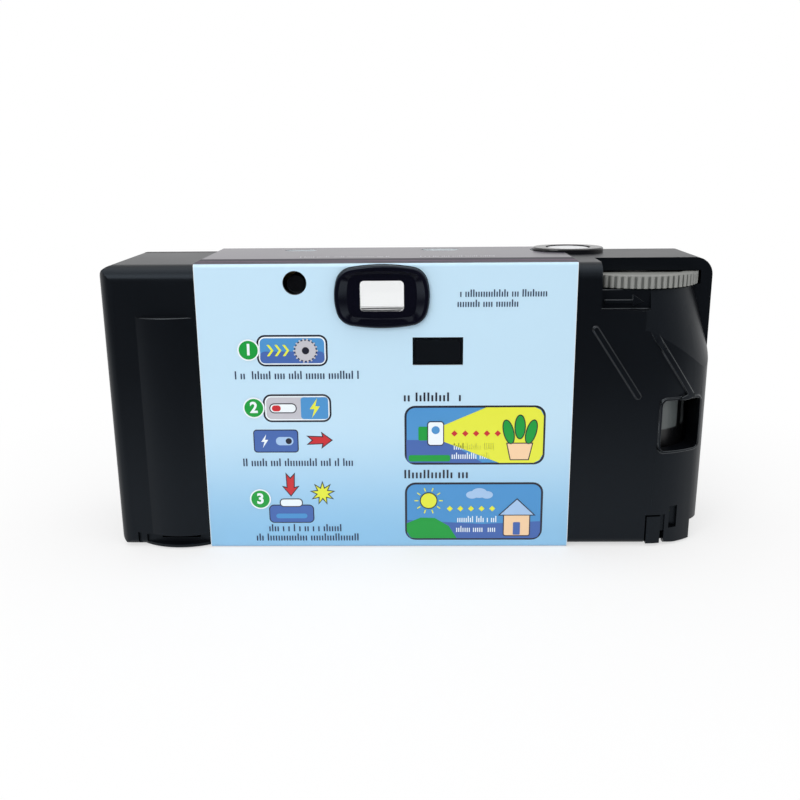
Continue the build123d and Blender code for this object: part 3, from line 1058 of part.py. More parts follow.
with BuildPart() as flash_window:
    with BuildSketch(rear_plane(BODY_Y + 0.15)):
        with Locations((FLASH_X, FLASH_Z)):
            RectangleRounded(FLASH_W - FIT, FLASH_H - FIT, 1.15)
    extrude(amount=BODY_Y + 0.15 - IN_Y - 0.05)
    # upright prisms on the inner face spread the light
    with BuildSketch(Plane.XY.offset(FLASH_Z - FLASH_H)):
        with Locations((FLASH_X, IN_Y + 0.05)):
            with GridLocations(1.5, 1, 14, 1):
                RegularPolygon(0.5, 3, rotation=90)
    extrude(amount=2 * FLASH_H, mode=Mode.SUBTRACT)
save(flash_window, "flash_window")

# Ready lamp, and the pipe that shows its glow in the rear hole
with BuildPart() as ready_lamp:
    rod_y(LAMP_X, (-2.6, 4.6), LAMP_Z - 0.5, 1.6)
    for x in (-0.7, 0.7):
        rod_y(LAMP_X + x, (4.0, BOARD_Y - FIT), LAMP_Z - 0.5, 0.25)
save(ready_lamp, "ready_lamp")

with BuildPart() as lamp_light_pipe:
    rod_y(LAMP_X, (-IN_Y + 0.25, -2.9), LAMP_Z - 0.5, 1.7)
    with BuildSketch(rear_plane(-6.0)):
        with Locations((LAMP_X + 1.3, LAMP_Z - 3.1)):
            Rectangle(5.4, 3.0)
    extrude(amount=1.6)
save(lamp_light_pipe, "lamp_light_pipe")

# Cell, its two contacts, the shutter's flash contact and the switch leaf
with BuildPart() as flash_cell:
    rod_x((CELL_X0, CELL_X1 - 1.2), CELL_Y, CELL_Z, CELL_R)
    fillet(flash_cell.edges().filter_by(GeomType.CIRCLE), 0.5)
    rod_x((CELL_X1 - 1.4, CELL_X1), CELL_Y, CELL_Z, 2.6)
save(flash_cell, "flash_cell")

LEAF_T = 0.4
LEAD_Z = CELL_Z + CELL_R + 0.35
with BuildPart() as cell_contacts:
    box((CELL_X0 - GAP - LEAF_T, CELL_X0 - GAP), (CELL_Y - 3, BOARD_Y + 0.9),
        (CELL_Z - 4, CELL_Z + 4))
    box((CELL_X1 + GAP, CELL_X1 + GAP + LEAF_T), (CELL_Y - 3, BOARD_Y + 1.2),
        (CELL_Z - 4, LEAD_Z + 1.2))
    box((BOARD_X1 + GAP, CELL_X1 + GAP + LEAF_T), (BOARD_Y + 0.8, BOARD_Y + 1.2),
        (LEAD_Z, LEAD_Z + 1.2))
save(cell_contacts, "cell_contacts")

with BuildPart() as sync_contact:
    box((BOARD_X1 + GAP, -5.2), (BLADE_Y + BLADE_T + 0.02, BLADE_Y + BLADE_T + 0.22),
        (LENS_Z - 1, LENS_Z + 1))
save(sync_contact, "sync_contact")

SLIDER_X0 = -END_X + 0.4
SLIDER_X1 = KNOB_X + KNOB_W / 2 + 2.4
with BuildPart() as flash_slider:
    box((SLIDER_X0, SLIDER_X1), (SLIDER_Y, SLIDER_Y + SLIDER_T),
        (SLIDER_Z - SLIDER_H / 2, SLIDER_Z + SLIDER_H / 2))
    with BuildSketch(Plane.XY.offset(SLIDER_Z - 1.4)):
        with BuildLine():
            y0, y1 = SLIDER_Y + SLIDER_T - 0.2, BODY_Y + 1.3
            FilletPolyline((KNOB_X - KNOB_W / 2, y0), (KNOB_X + KNOB_W / 2, y0),
                           (KNOB_X + KNOB_W / 2, y1), (KNOB_X - KNOB_W / 2, y1),
                           radius=[0, 0, 0.6, 0.6], close=True)
        make_face()
        with Locations((KNOB_X, y1)):
            with GridLocations(1.1, 1, 3, 1):
                Circle(0.28, mode=Mode.SUBTRACT)
    extrude(amount=2.8)
save(flash_slider, "flash_slider")

with BuildPart() as switch_contact:
    box((SLIDER_X1 - 2.4, SLIDER_X1 - 1.2), (BOARD_Y + BOARD_T + 0.02, SLIDER_Y - GAP),
        (SLIDER_Z - 4, SLIDER_Z - 3))
    box((SLIDER_X1 - 2.4, SLIDER_X1 - 1.2), (SLIDER_Y - GAP - LEAF_T, SLIDER_Y - GAP),
        (SLIDER_Z - 4, SLIDER_Z + 2))
save(switch_contact, "switch_contact")
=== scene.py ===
"""Single-use film camera, seen from behind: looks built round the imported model, in metres."""
import json
from math import cos, pi, radians, sin

import bmesh
import bpy
from mathutils import Matrix, Vector

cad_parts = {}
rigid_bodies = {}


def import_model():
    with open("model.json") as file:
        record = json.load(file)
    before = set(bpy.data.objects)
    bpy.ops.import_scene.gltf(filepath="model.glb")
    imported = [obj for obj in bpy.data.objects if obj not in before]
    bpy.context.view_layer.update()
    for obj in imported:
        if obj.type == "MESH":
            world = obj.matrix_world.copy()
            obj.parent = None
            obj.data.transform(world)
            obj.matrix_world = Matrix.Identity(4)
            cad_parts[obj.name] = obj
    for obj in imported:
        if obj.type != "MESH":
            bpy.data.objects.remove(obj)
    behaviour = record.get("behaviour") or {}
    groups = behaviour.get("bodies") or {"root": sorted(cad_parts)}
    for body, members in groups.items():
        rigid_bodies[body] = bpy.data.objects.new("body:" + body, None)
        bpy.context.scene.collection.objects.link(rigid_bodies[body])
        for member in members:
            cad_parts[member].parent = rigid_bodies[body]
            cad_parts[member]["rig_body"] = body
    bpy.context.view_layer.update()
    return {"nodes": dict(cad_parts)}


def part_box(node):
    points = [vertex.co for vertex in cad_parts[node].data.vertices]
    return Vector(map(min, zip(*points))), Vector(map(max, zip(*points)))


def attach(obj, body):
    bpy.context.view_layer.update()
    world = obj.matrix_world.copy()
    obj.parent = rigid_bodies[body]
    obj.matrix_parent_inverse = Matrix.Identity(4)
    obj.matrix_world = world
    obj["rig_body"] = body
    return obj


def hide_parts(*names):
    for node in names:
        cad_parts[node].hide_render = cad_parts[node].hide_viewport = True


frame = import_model()
nodes = frame["nodes"]
MM = 0.001

# The setting: a plain pale table that runs back into a white wall, a broad soft panel overhead, a
# second one beside the photographer, and the camera a hand's breadth above and behind the object.
# The table ends in front of the object, and the room behind the photographer is dim.
FLOOR_TONE = (0.93, 0.93, 0.935, 1)
ROOM_FILL = 0.52
OVERHEAD_WATTS = 1.7
PHOTOGRAPHER_WATTS = 2.2
OVERHEAD_AT, PHOTOGRAPHER_AT, LIT_POINT = (0, -0.06, 0.62), (-0.28, -0.62, 0.42), (0, 0, 0.03)
TABLE_END, TABLE_END_BLUR = -0.10, 0.05
SHADOW_FROM, SHADOW_TO, SHADOW_WALL_SHARE, SHADOW_STRETCH = 0.015, 0.12, 0.55, 0.75
ROOM_DIMS_AT, ROOM_WHITE_AT, ROOM_DEPTH_WEIGHT = -0.75, 0.3, 0.8
CAMERA_AT = (0.692 * MM, -184.32 * MM, 76.245 * MM)
CAMERA_PITCH, CAMERA_YAW, CAMERA_ROLL = radians(15.044), radians(-0.951), radians(-0.4655)
FOCAL_PIXELS, FRAME_PIXELS, SENSOR = 912.125, 800, 36

scene = bpy.context.scene
scene.view_settings.view_transform = "Standard"
forward = Vector((sin(CAMERA_YAW) * cos(CAMERA_PITCH), cos(CAMERA_YAW) * cos(CAMERA_PITCH),
                  -sin(CAMERA_PITCH)))
across = Vector((cos(CAMERA_YAW), -sin(CAMERA_YAW), 0))
upward = across.cross(forward)
rolled_across = across * cos(CAMERA_ROLL) + upward * sin(CAMERA_ROLL)
rolled_up = upward * cos(CAMERA_ROLL) - across * sin(CAMERA_ROLL)
camera = bpy.data.objects.new("camera", bpy.data.cameras.new("camera"))
camera.data.sensor_width = SENSOR
camera.data.lens = SENSOR * FOCAL_PIXELS / FRAME_PIXELS
camera.data.clip_start = 0.01
camera.matrix_world = Matrix.Translation(CAMERA_AT) @ Matrix(
    (rolled_across, rolled_up, -forward)).transposed().to_4x4()
scene.collection.objects.link(camera)
scene.camera = camera


def softbox(name, at, towards, width, height, watts):
    """A rectangular soft panel that faces a point."""
    light = bpy.data.lights.new(name, "AREA")
    light.shape = "RECTANGLE"
    light.size, light.size_y, light.energy = width, height, watts
    lamp = bpy.data.objects.new(name, light)
    aim = (Vector(towards) - Vector(at)).to_track_quat("-Z", "Y")
    lamp.matrix_world = Matrix.Translation(at) @ aim.to_matrix().to_4x4()
    scene.collection.objects.link(lamp)


softbox("overhead_panel", OVERHEAD_AT, LIT_POINT, 0.7, 0.5, OVERHEAD_WATTS)
softbox("photographer_panel", PHOTOGRAPHER_AT, LIT_POINT, 0.5, 0.4, PHOTOGRAPHER_WATTS)


def feed(tree, socket, value):
    """Gives a node's input a number or the output of another node."""
    if isinstance(value, bpy.types.NodeSocket):
        tree.links.new(value, socket)
    else:
        socket.default_value = value


def maths(tree, operation, *values):
    """The output of a Math node with the given operands."""
    made = tree.nodes.new("ShaderNodeMath")
    made.operation = operation
    for socket, value in zip(made.inputs, values):
        feed(tree, socket, value)
    return made.outputs[0]


def ramp(tree, value, start, end, low=0.0, high=1.0):
    """A smooth step of a value between two limits."""
    made = tree.nodes.new("ShaderNodeMapRange")
    made.interpolation_type = "SMOOTHSTEP"
    for socket, number in zip(list(made.inputs)[:5], (value, start, end, low, high)):
        feed(tree, socket, number)
    return made.outputs[0]


def blend(tree, share, first, second):
    """A colour between two colours."""
    made = tree.nodes.new("ShaderNodeMix")
    made.data_type = "RGBA"
    for label, value in (("Factor", share), ("A", first), ("B", second)):
        feed(tree, [s for s in made.inputs if s.name == label and s.enabled][0], value)
    return [s for s in made.outputs if s.enabled][0]


def coordinates(tree, kind="Object"):
    """The three parts of a texture coordinate."""
    place = tree.nodes.new("ShaderNodeTexCoord")
    parts = tree.nodes.new("ShaderNodeSeparateXYZ")
    tree.links.new(place.outputs[kind], parts.inputs[0])
    return parts.outputs


def mix_shader(tree, share, first, second):
    """A blend of two shaders."""
    made = tree.nodes.new("ShaderNodeMixShader")
    for socket, value in zip(made.inputs, (share, first, second)):
        tree.links.new(value, socket)
    return made.outputs[0]


def plain_light(tree, kind, colour):
    """An unshaded light of strength 1 in a colour."""
    made = tree.nodes.new(kind)
    feed(tree, made.inputs["Color"], colour)
    made.inputs["Strength"].default_value = 1.0
    return made.outputs[0]


WHITE, DIM_ROOM = (1, 1, 1, 1), (0.03, 0.035, 0.043, 1)
world = bpy.data.worlds.new("studio")
world.use_nodes = True
scene.world = world
tree = world.node_tree
ambient = tree.nodes["Background"]
ambient.inputs["Color"].default_value = WHITE
ambient.inputs["Strength"].default_value = ROOM_FILL
rays = tree.nodes.new("ShaderNodeLightPath")
x, y, z = coordinates(tree, "Generated")
ahead_and_up = maths(tree, "ADD", z, maths(tree, "MULTIPLY", y, ROOM_DEPTH_WEIGHT))
lightness = ramp(tree, ahead_and_up, ROOM_DIMS_AT, ROOM_WHITE_AT)
seen = maths(tree, "MAXIMUM", rays.outputs["Is Camera Ray"], rays.outputs["Is Transmission Ray"])
wall = plain_light(tree, "ShaderNodeBackground", blend(
    tree, maths(tree, "MAXIMUM", seen, lightness), DIM_ROOM, WHITE))
shown = maths(tree, "MAXIMUM", seen, rays.outputs["Is Glossy Ray"])
tree.links.new(mix_shader(tree, shown, ambient.outputs[0], wall),
               tree.nodes["World Output"].inputs["Surface"])

floor_mesh = bpy.data.meshes.new("table")
floor_mesh.from_pydata([(-4, -4, 0), (4, -4, 0), (4, 4, 0), (-4, 4, 0)], [], [(0, 1, 2, 3)])
floor = bpy.data.objects.new("table", floor_mesh)
scene.collection.objects.link(floor)
table_paint = bpy.data.materials.new("pale_table")
table_paint.use_nodes = True
tree = table_paint.node_tree
paint = tree.nodes["Principled BSDF"]
paint.inputs["Base Color"].default_value = FLOOR_TONE
paint.inputs["Roughness"].default_value = 0.9
paint.inputs["Specular IOR Level"].default_value = 0.1
rays = tree.nodes.new("ShaderNodeLightPath")
x, y, z = coordinates(tree)
# close to the object the table keeps its shadow, and further off it turns into the white wall
reach = maths(tree, "SQRT", maths(tree, "ADD", maths(tree, "POWER", maths(
    tree, "MULTIPLY", x, SHADOW_STRETCH), 2.0), maths(tree, "POWER", y, 2.0)))
seen = maths(tree, "MAXIMUM", rays.outputs["Is Camera Ray"], rays.outputs["Is Transmission Ray"])
shown = maths(tree, "MAXIMUM", seen, rays.outputs["Is Glossy Ray"])
far = maths(tree, "MULTIPLY", shown, ramp(
    tree, reach, SHADOW_FROM, SHADOW_TO, SHADOW_WALL_SHARE, 1.0))
table = maths(tree, "MAXIMUM", seen, ramp(
    tree, y, TABLE_END - TABLE_END_BLUR, TABLE_END + TABLE_END_BLUR))
white_wall = plain_light(tree, "ShaderNodeEmission", blend(tree, table, DIM_ROOM, WHITE))
tree.links.new(mix_shader(tree, far, paint.outputs[0], white_wall),
               tree.nodes["Material Output"].inputs["Surface"])
floor_mesh.materials.append(table_paint)


# The rear cover: one black polystyrene moulding with the film-roll bulge, the wheel bay, the
# thumb scoop and the cassette window. The tool's sparked face leaves a fine even grain, and
# handling leaves a few duller patches.
def shader_group(name, inputs, outputs):
    """An empty node group with the named sockets."""
    tree = bpy.data.node_groups.new(name, "ShaderNodeTree")
    for way, sockets in (("INPUT", inputs), ("OUTPUT", outputs)):
        for label, kind, value in sockets:
            socket = tree.interface.new_socket(label, in_out=way, socket_type="NodeSocket" + kind)
            if value is not None:
                socket.default_value = value
    return tree, tree.nodes.new("NodeGroupInput"), tree.nodes.new("NodeGroupOutput")


def noise(tree, scale, detail):
    """Noise in the object's own coordinates."""
    place = tree.nodes.new("ShaderNodeTexCoord")
    made = tree.nodes.new("ShaderNodeTexNoise")
    made.inputs["Detail"].default_value = detail
    tree.links.new(place.outputs["Object"], made.inputs["Vector"])
    tree.links.new(scale, made.inputs["Scale"])
    return made.outputs["Fac"]


# a colour that drifts a little, a roughness that follows the same drift, and a grain
moulded_surface, inward, outward = shader_group(
    "moulded_surface",
    [("Color", "Color", (0.5, 0.5, 0.5, 1)), ("Shade", "Color", (0.4, 0.4, 0.4, 1)),
     ("Patch Scale", "Float", 40), ("Patch Amount", "Float", 0.4),
     ("Roughness", "Float", 0.4), ("Roughness Swing", "Float", 0.1),
     ("Grain Scale", "Float", 3000), ("Grain Depth", "Float", 0.00001)],
    [("Color", "Color", None), ("Roughness", "Float", None), ("Normal", "Vector", None)])
tree = moulded_surface
patches = noise(tree, inward.outputs["Patch Scale"], 5)
share = maths(tree, "MULTIPLY", patches, inward.outputs["Patch Amount"])
tree.links.new(blend(tree, share, inward.outputs["Color"], inward.outputs["Shade"]),
               outward.inputs["Color"])
swing = maths(tree, "MULTIPLY", maths(tree, "SUBTRACT", patches, 0.5),
              inward.outputs["Roughness Swing"])
tree.links.new(maths(tree, "ADD", swing, inward.outputs["Roughness"]),
               outward.inputs["Roughness"])
bump = tree.nodes.new("ShaderNodeBump")
tree.links.new(inward.outputs["Grain Depth"], bump.inputs["Distance"])
tree.links.new(noise(tree, inward.outputs["Grain Scale"], 3), bump.inputs["Height"])
tree.links.new(bump.outputs["Normal"], outward.inputs["Normal"])


def finish(name, tone, shade, roughness, swing=0.1, patch=(40, 0.5), grain=(2600, 0.006),
           **sockets):
    """A material on the shared surface; grain is its scale and its depth in millimetres."""
    made = bpy.data.materials.new(name)
    made.use_nodes = True
    tree = made.node_tree
    shader = tree.nodes["Principled BSDF"]
    surface = tree.nodes.new("ShaderNodeGroup")
    surface.name = "surface"
    surface.node_tree = moulded_surface
    for socket, value in (("Color", (*tone, 1)), ("Shade", (*shade, 1)),
                          ("Patch Scale", patch[0]), ("Patch Amount", patch[1]),
                          ("Roughness", roughness), ("Roughness Swing", swing),
                          ("Grain Scale", grain[0]), ("Grain Depth", grain[1] * MM)):
        surface.inputs[socket].default_value = value
    tree.links.new(surface.outputs["Color"], shader.inputs["Base Color"])
    tree.links.new(surface.outputs["Roughness"], shader.inputs["Roughness"])
    tree.links.new(surface.outputs["Normal"], shader.inputs["Normal"])
    for socket, value in sockets.items():
        shader.inputs[socket.replace("_", " ")].default_value = value
    return made


def dress(node_name, *materials):
    """Gives a carried-over node its finish."""
    mesh = nodes[node_name].data
    mesh.materials.clear()
    for material in materials:
        mesh.materials.append(material)


def within(point, box):
    """Whether a point lies in a box given as its low and high corners in millimetres."""
    return all(low * MM <= value <= high * MM for value, low, high in zip(point, *box))


def softened(node_name, material, angle=32, flatten=0.4, bevel=0.0, bevel_boxes=(), trim=None,
             edge_material=None):
    """A merged copy of a node with smooth normals over its curves, which then stands for it.

    The sharp edges inside a bevel box are rounded, by that box's share of the width. What lies
    in the trim box is pulled up to its top, which takes off a sliver.
    """
    mesh = nodes[node_name].data.copy()
    mesh.name = node_name + "_face"
    shape = bmesh.new()
    shape.from_mesh(mesh)
    bmesh.ops.remove_doubles(shape, verts=shape.verts, dist=0.002 * MM)
    for vert in shape.verts:
        if trim and within(vert.co, trim):
            vert.co.z = trim[1][2] * MM
    bmesh.ops.dissolve_limit(shape, angle_limit=radians(flatten), verts=shape.verts,
                             edges=shape.edges)
    weight = shape.edges.layers.float.new("bevel_weight_edge")
    for face in shape.faces:
        face.smooth = True
        face.material_index = 0
    for edge in shape.edges:
        turn = edge.calc_face_angle(0) if len(edge.link_faces) == 2 else pi
        edge.smooth = turn < radians(angle)
        if bevel and radians(50) < turn < radians(130):
            edge[weight] = max((share for box, share in bevel_boxes
                                if all(within(vert.co, box) for vert in edge.verts)), default=0.0)
    shape.to_mesh(mesh)
    shape.free()
    mesh.materials.clear()
    mesh.materials.append(material)
    if edge_material:
        mesh.materials.append(edge_material)
    piece = bpy.data.objects.new(node_name + "_face", mesh)
    scene.collection.objects.link(piece)
    if bevel:
        rounding = piece.modifiers.new("edges", "BEVEL")
        rounding.width, rounding.segments = bevel * MM, 2
        rounding.limit_method = "WEIGHT"
        rounding.use_clamp_overlap = False
        rounding.material = 1 if edge_material else -1
    weights = piece.modifiers.new("face_weights", "WEIGHTED_NORMAL")
    weights.keep_sharp = True
    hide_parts(node_name)
    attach(piece, nodes[node_name]["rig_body"])


black_moulding = finish("black_moulding", (0.0022, 0.0027, 0.0040), (0.0038, 0.0045, 0.0065),
                        0.36, 0.14, (38, 0.7), (2400, 0.007), Specular_IOR_Level=0.22,
                        Specular_Tint=(0.72, 0.86, 1.0, 1))
# a lighter, glossier copy of the black moulding for the bevelled edges: a painted highlight along
# them
painted_highlight_edge = finish("painted_highlight_edge", (0.003, 0.0035, 0.005), (0.005, 0.006, 0.008), 0.26, 0.06,
                     (38, 0.7), (2400, 0.002), Specular_IOR_Level=0.6,
                     Specular_Tint=(0.85, 0.93, 1.0, 1))
# boxes round the edges that catch the light and carry the painted highlight, each with its share of
# the bevel
EDGE_BEVEL = 0.14
CATCHING_EDGES = (
    (((31.5, -16, 17), (46.5, -5.2, 45.5)), 1.0),      # the left rib
    (((46.5, -16, 17), (58.5, -5.2, 43.4)), 1.0),      # the right rib and the cassette window
    (((31.5, -16, 45.6), (58.5, -5.2, 48.0)), 1.0),    # the ledge under the thumb recess
    (((31.5, -16, 45.6), (36.0, -10, 52.0)), 1.0),     # the recess's left wall
    (((36.2, -16, 48.1), (44.1, -12, 50.6)), 0.35),    # the arrow
    (((31.5, -16, 50.6), (58.5, -5.2, 55.0)), 1.0),    # the hood and the floor of the bay
    (((-57, -16, 43), (-40.6, -13, 49)), 1.0))         # the top of the bulge
SEAM_SLIVER = ((56.0, 10.6, 0.3), (56.5, 11.05, 1.6))
softened("back_cover", black_moulding, 14, 0.05, EDGE_BEVEL, CATCHING_EDGES, SEAM_SLIVER,
         painted_highlight_edge)
softened("film_door", black_moulding)

# The frame inside: a dull black moulding that holds the film flat, keeps stray light off it and
# carries the shutter. It is pressed between the two covers.
dull_black = finish("dull_black", (0.004, 0.004, 0.005), (0.008, 0.008, 0.009), 0.6, 0.15,
                    (60, 0.6), (1800, 0.012), Specular_IOR_Level=0.25)
for name in ("main_frame", "shutter_blade", "shutter_plate", "supply_core", "cassette_spool",
             "lens_retainer", "finder_tunnel"):
    dress(name, dull_black)

# The front cover: the second black polystyrene moulding, with the openings for the lens, the
# finder, the flash and its slider. It is snapped to the rear one along the seam over the top.
softened("front_cover", black_moulding)

# The film: a grey-brown strip over the gate, its unexposed roll on the left and, on the right, the
# steel cassette with its crimped caps and velvet light trap. Its shell carries a painted
# reflection, grey above and near black below where the painted reflection ends, with a dark band of
# painted shade.
film_brown = finish("film_brown", (0.10, 0.075, 0.07), (0.14, 0.11, 0.10), 0.28, 0.08, (90, 0.5),
                    (4000, 0.001))
shell_reflection_and_shade = finish("shell_reflection_and_shade", (0.17, 0.19, 0.19), (0.13, 0.145, 0.145), 0.35, 0.12,
                     (70, 0.6), (3000, 0.003))
# painted reflection in grey over the upper shell; painted shade in near black below FOOT_TOP and in
# the upright band
BAND_X, BAND_BLUR, FOOT_TOP, FOOT_BLUR = (52.9, 54.4), 0.3, 23.6, 0.4
tree = shell_reflection_and_shade.node_tree
x, y, z = coordinates(tree)
band = maths(tree, "MULTIPLY", ramp(tree, x, BAND_X[0] * MM, (BAND_X[0] + BAND_BLUR) * MM),
             ramp(tree, x, BAND_X[1] * MM, (BAND_X[1] - BAND_BLUR) * MM))
dark = maths(tree, "MAXIMUM", band, ramp(tree, z, FOOT_TOP * MM, (FOOT_TOP - FOOT_BLUR) * MM))
surface = tree.nodes["surface"]
# the grey is the painted reflection, the near black the painted shade
tree.links.new(blend(tree, dark, (0.135, 0.152, 0.152, 1), (0.004, 0.004, 0.005, 1)),
               surface.inputs["Color"])
tree.links.new(blend(tree, dark, (0.105, 0.118, 0.118, 1), (0.007, 0.007, 0.008, 1)),
               surface.inputs["Shade"])
cap_lacquer = finish("cap_lacquer", (0.03, 0.03, 0.033), (0.05, 0.05, 0.055), 0.3, 0.1, (80, 0.5),
                     (3000, 0.003))
velvet = finish("velvet", (0.008, 0.008, 0.008), (0.02, 0.02, 0.02), 0.95, 0.03, (400, 0.6),
                (9000, 0.06), Sheen_Weight=0.4)
dress("film_strip", film_brown)
dress("film_roll", film_brown)
softened("cassette_shell", shell_reflection_and_shade, 25)
dress("cassette_top_cap", cap_lacquer)
dress("cassette_bottom_cap", cap_lacquer)
dress("light_trap_felts", velvet)

# The winding wheel: warm grey nylon, with a ribbed rim that the thumb pushes to the right. Painted
# shade darkens the grooves at the foot of the ribs.
wheel_nylon = finish("wheel_nylon", (0.25, 0.255, 0.245), (0.19, 0.195, 0.185), 0.5, 0.14,
                     (120, 0.6), (2600, 0.008), Specular_IOR_Level=0.35)
GROOVE_DEPTHS = (0.14, 0.34)    # below the rim, where the painted shade starts and where it is full
GROOVE_ENDS = (0.8, 0.6)        # below the rim, where the grooves end on the wheel's faces
RIM_EDGE = (0.05, 0.25)         # below the wheel's top, which stays free of painted shade
tree = wheel_nylon.node_tree
x, y, z = coordinates(tree)
low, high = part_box("thumbwheel")
wheel_x, wheel_y, rim_r = (low[0] + high[0]) / 2, (low[1] + high[1]) / 2, (high[0] - low[0]) / 2
from_axis = maths(tree, "SQRT", maths(
    tree, "ADD", maths(tree, "POWER", maths(tree, "SUBTRACT", x, wheel_x), 2.0),
    maths(tree, "POWER", maths(tree, "SUBTRACT", y, wheel_y), 2.0)))
groove = maths(tree, "MULTIPLY",
               ramp(tree, from_axis, *(rim_r - depth * MM for depth in GROOVE_DEPTHS)),
               ramp(tree, z, *(high[2] - depth * MM for depth in RIM_EDGE)))
groove = maths(tree, "MULTIPLY", groove,
               ramp(tree, from_axis, *(rim_r - depth * MM for depth in GROOVE_ENDS)))
# painted shade in the grooves: the nylon's own grey, darkening to near black down between the ribs
groove_shade = blend(tree, groove, (0.29, 0.295, 0.28, 1), (0.075, 0.08, 0.075, 1))
tree.links.new(groove_shade, tree.nodes["surface"].inputs["Color"])
softened("thumbwheel", wheel_nylon, 40)

# a shallow stepped web closes the wheel's top between its rim and its hub: each step's radius,
# and its height over the wheel's top
WEB_STEPS = ((10.82, -0.5), (10.82, -0.03), (10.3, -0.03), (10.0, -0.2), (4.3, -0.2), (3.88, -0.06))
web_mesh = bpy.data.meshes.new("thumbwheel_web")
shape = bmesh.new()
profile = [shape.verts.new((wheel_x + r * MM, wheel_y, high[2] + drop * MM))
           for r, drop in WEB_STEPS]
edges = [shape.edges.new(pair) for pair in zip(profile, profile[1:])]
bmesh.ops.spin(shape, geom=profile + edges, cent=(wheel_x, wheel_y, 0), axis=(0, 0, 1),
               angle=2 * pi, steps=96, use_merge=True)
bmesh.ops.remove_doubles(shape, verts=shape.verts, dist=0.001 * MM)
bmesh.ops.recalc_face_normals(shape, faces=shape.faces)
shape.to_mesh(web_mesh)
shape.free()
web_mesh.materials.append(wheel_nylon)
web = bpy.data.objects.new("thumbwheel_web", web_mesh)
scene.collection.objects.link(web)
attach(web, nodes["thumbwheel"]["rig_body"])

# The finder: a glossy dark plastic surround pressed into the rear cover, a dull tube through the
# body and a clear moulded lens at each end. The same clear acrylic makes the taking lens and the
# two windows in the top.
navy_gloss = finish("navy_gloss", (0.0030, 0.0028, 0.007), (0.0045, 0.0042, 0.010), 0.16, 0.08,
                    (60, 0.5), (3000, 0.002), Specular_IOR_Level=0.3,
                    Specular_Tint=(0.7, 0.85, 1.0, 1))
softened("eyepiece_bezel", navy_gloss)


def clear(name, tint, roughness, ripple):
    """A clear moulded plastic with a slight flow ripple."""
    return finish(name, tint, tuple(c * 0.94 for c in tint), roughness, 0.03, (90, 0.3),
                  (300, ripple), Transmission_Weight=1.0, IOR=1.49)


clear_acrylic = clear("clear_acrylic", (0.985, 0.992, 0.995), 0.02, 0.0005)
for name in ("finder_front_lens", "finder_rear_lens", "counter_window", "lamp_window",
             "taking_lens"):
    dress(name, clear_acrylic)

# The shutter button and its collar: a white plastic cap, which presses down on the metering
# lever, in a glossy oval black ring on the top.
button_white = finish("button_white", (0.78, 0.79, 0.81), (0.70, 0.71, 0.73), 0.3, 0.1, (90, 0.4),
                      (2600, 0.003))
collar_black = finish("collar_black", (0.005, 0.005, 0.007), (0.008, 0.008, 0.01), 0.2, 0.08,
                      (60, 0.5), (3000, 0.002))
softened("shutter_button", button_white)
softened("shutter_collar", collar_black)

# The film counter and the levers under the top: white acetal pieces on posts of the frame, with
# wire springs.
acetal = finish("acetal", (0.72, 0.72, 0.69), (0.64, 0.64, 0.61), 0.4, 0.1, (90, 0.5),
                (2600, 0.004))
spring_wire = finish("spring_wire", (0.55, 0.55, 0.56), (0.42, 0.42, 0.43), 0.28, 0.1, (300, 0.5),
                     (5000, 0.002), Metallic=1.0)
for name in ("film_sprocket", "counter_dial", "metering_lever", "drive_lever"):
    dress(name, acetal)
for name in ("drive_spring", "metering_spring"):
    dress(name, spring_wire)

# The lens ring: a glossy black moulded ring, pressed on the front of the lens boss. Its inner
# cone keeps stray light off the lens.
softened("lens_ring", collar_black)

# The flash unit: a phenolic board with its capacitor, transformer and lamp, the tube in its
# polished reflector behind a ribbed window, the cell and its brass contacts.
board_brown = finish("board_brown", (0.24, 0.15, 0.06), (0.18, 0.11, 0.045), 0.4, 0.15,
                     (150, 0.6), (3500, 0.006))
can_sleeve = finish("can_sleeve", (0.012, 0.012, 0.016), (0.02, 0.02, 0.025), 0.22, 0.1,
                    (90, 0.5), (3000, 0.002))
coil_tape = finish("coil_tape", (0.55, 0.42, 0.10), (0.45, 0.34, 0.08), 0.35, 0.15, (200, 0.6),
                   (2600, 0.01))
polished = finish("polished", (0.86, 0.86, 0.87), (0.78, 0.78, 0.79), 0.12, 0.08, (120, 0.5),
                  (4000, 0.001), Metallic=1.0)
brass = finish("brass", (0.72, 0.52, 0.22), (0.55, 0.38, 0.15), 0.3, 0.15, (150, 0.6),
               (4000, 0.002), Metallic=1.0)
jacket_blue = finish("jacket_blue", (0.03, 0.08, 0.26), (0.04, 0.10, 0.30), 0.25, 0.08, (60, 0.5),
                     (3000, 0.002))
dress("flash_board", board_brown)
dress("flash_capacitor", can_sleeve)
dress("flash_transformer", coil_tape)
dress("flash_reflector", polished)
dress("flash_tube", clear_acrylic)
dress("ready_lamp", clear_acrylic)
dress("lamp_light_pipe", finish("smoked_pipe", (0.004, 0.004, 0.005), (0.006, 0.006, 0.007),
                                0.12, 0.05, (60, 0.5), (3000, 0.001)))
dress("flash_window", clear("ribbed_window", (0.93, 0.95, 0.95), 0.12, 0.002))
dress("flash_cell", jacket_blue)
for name in ("cell_contacts", "sync_contact", "switch_contact"):
    dress(name, brass)
softened("flash_slider", black_moulding)

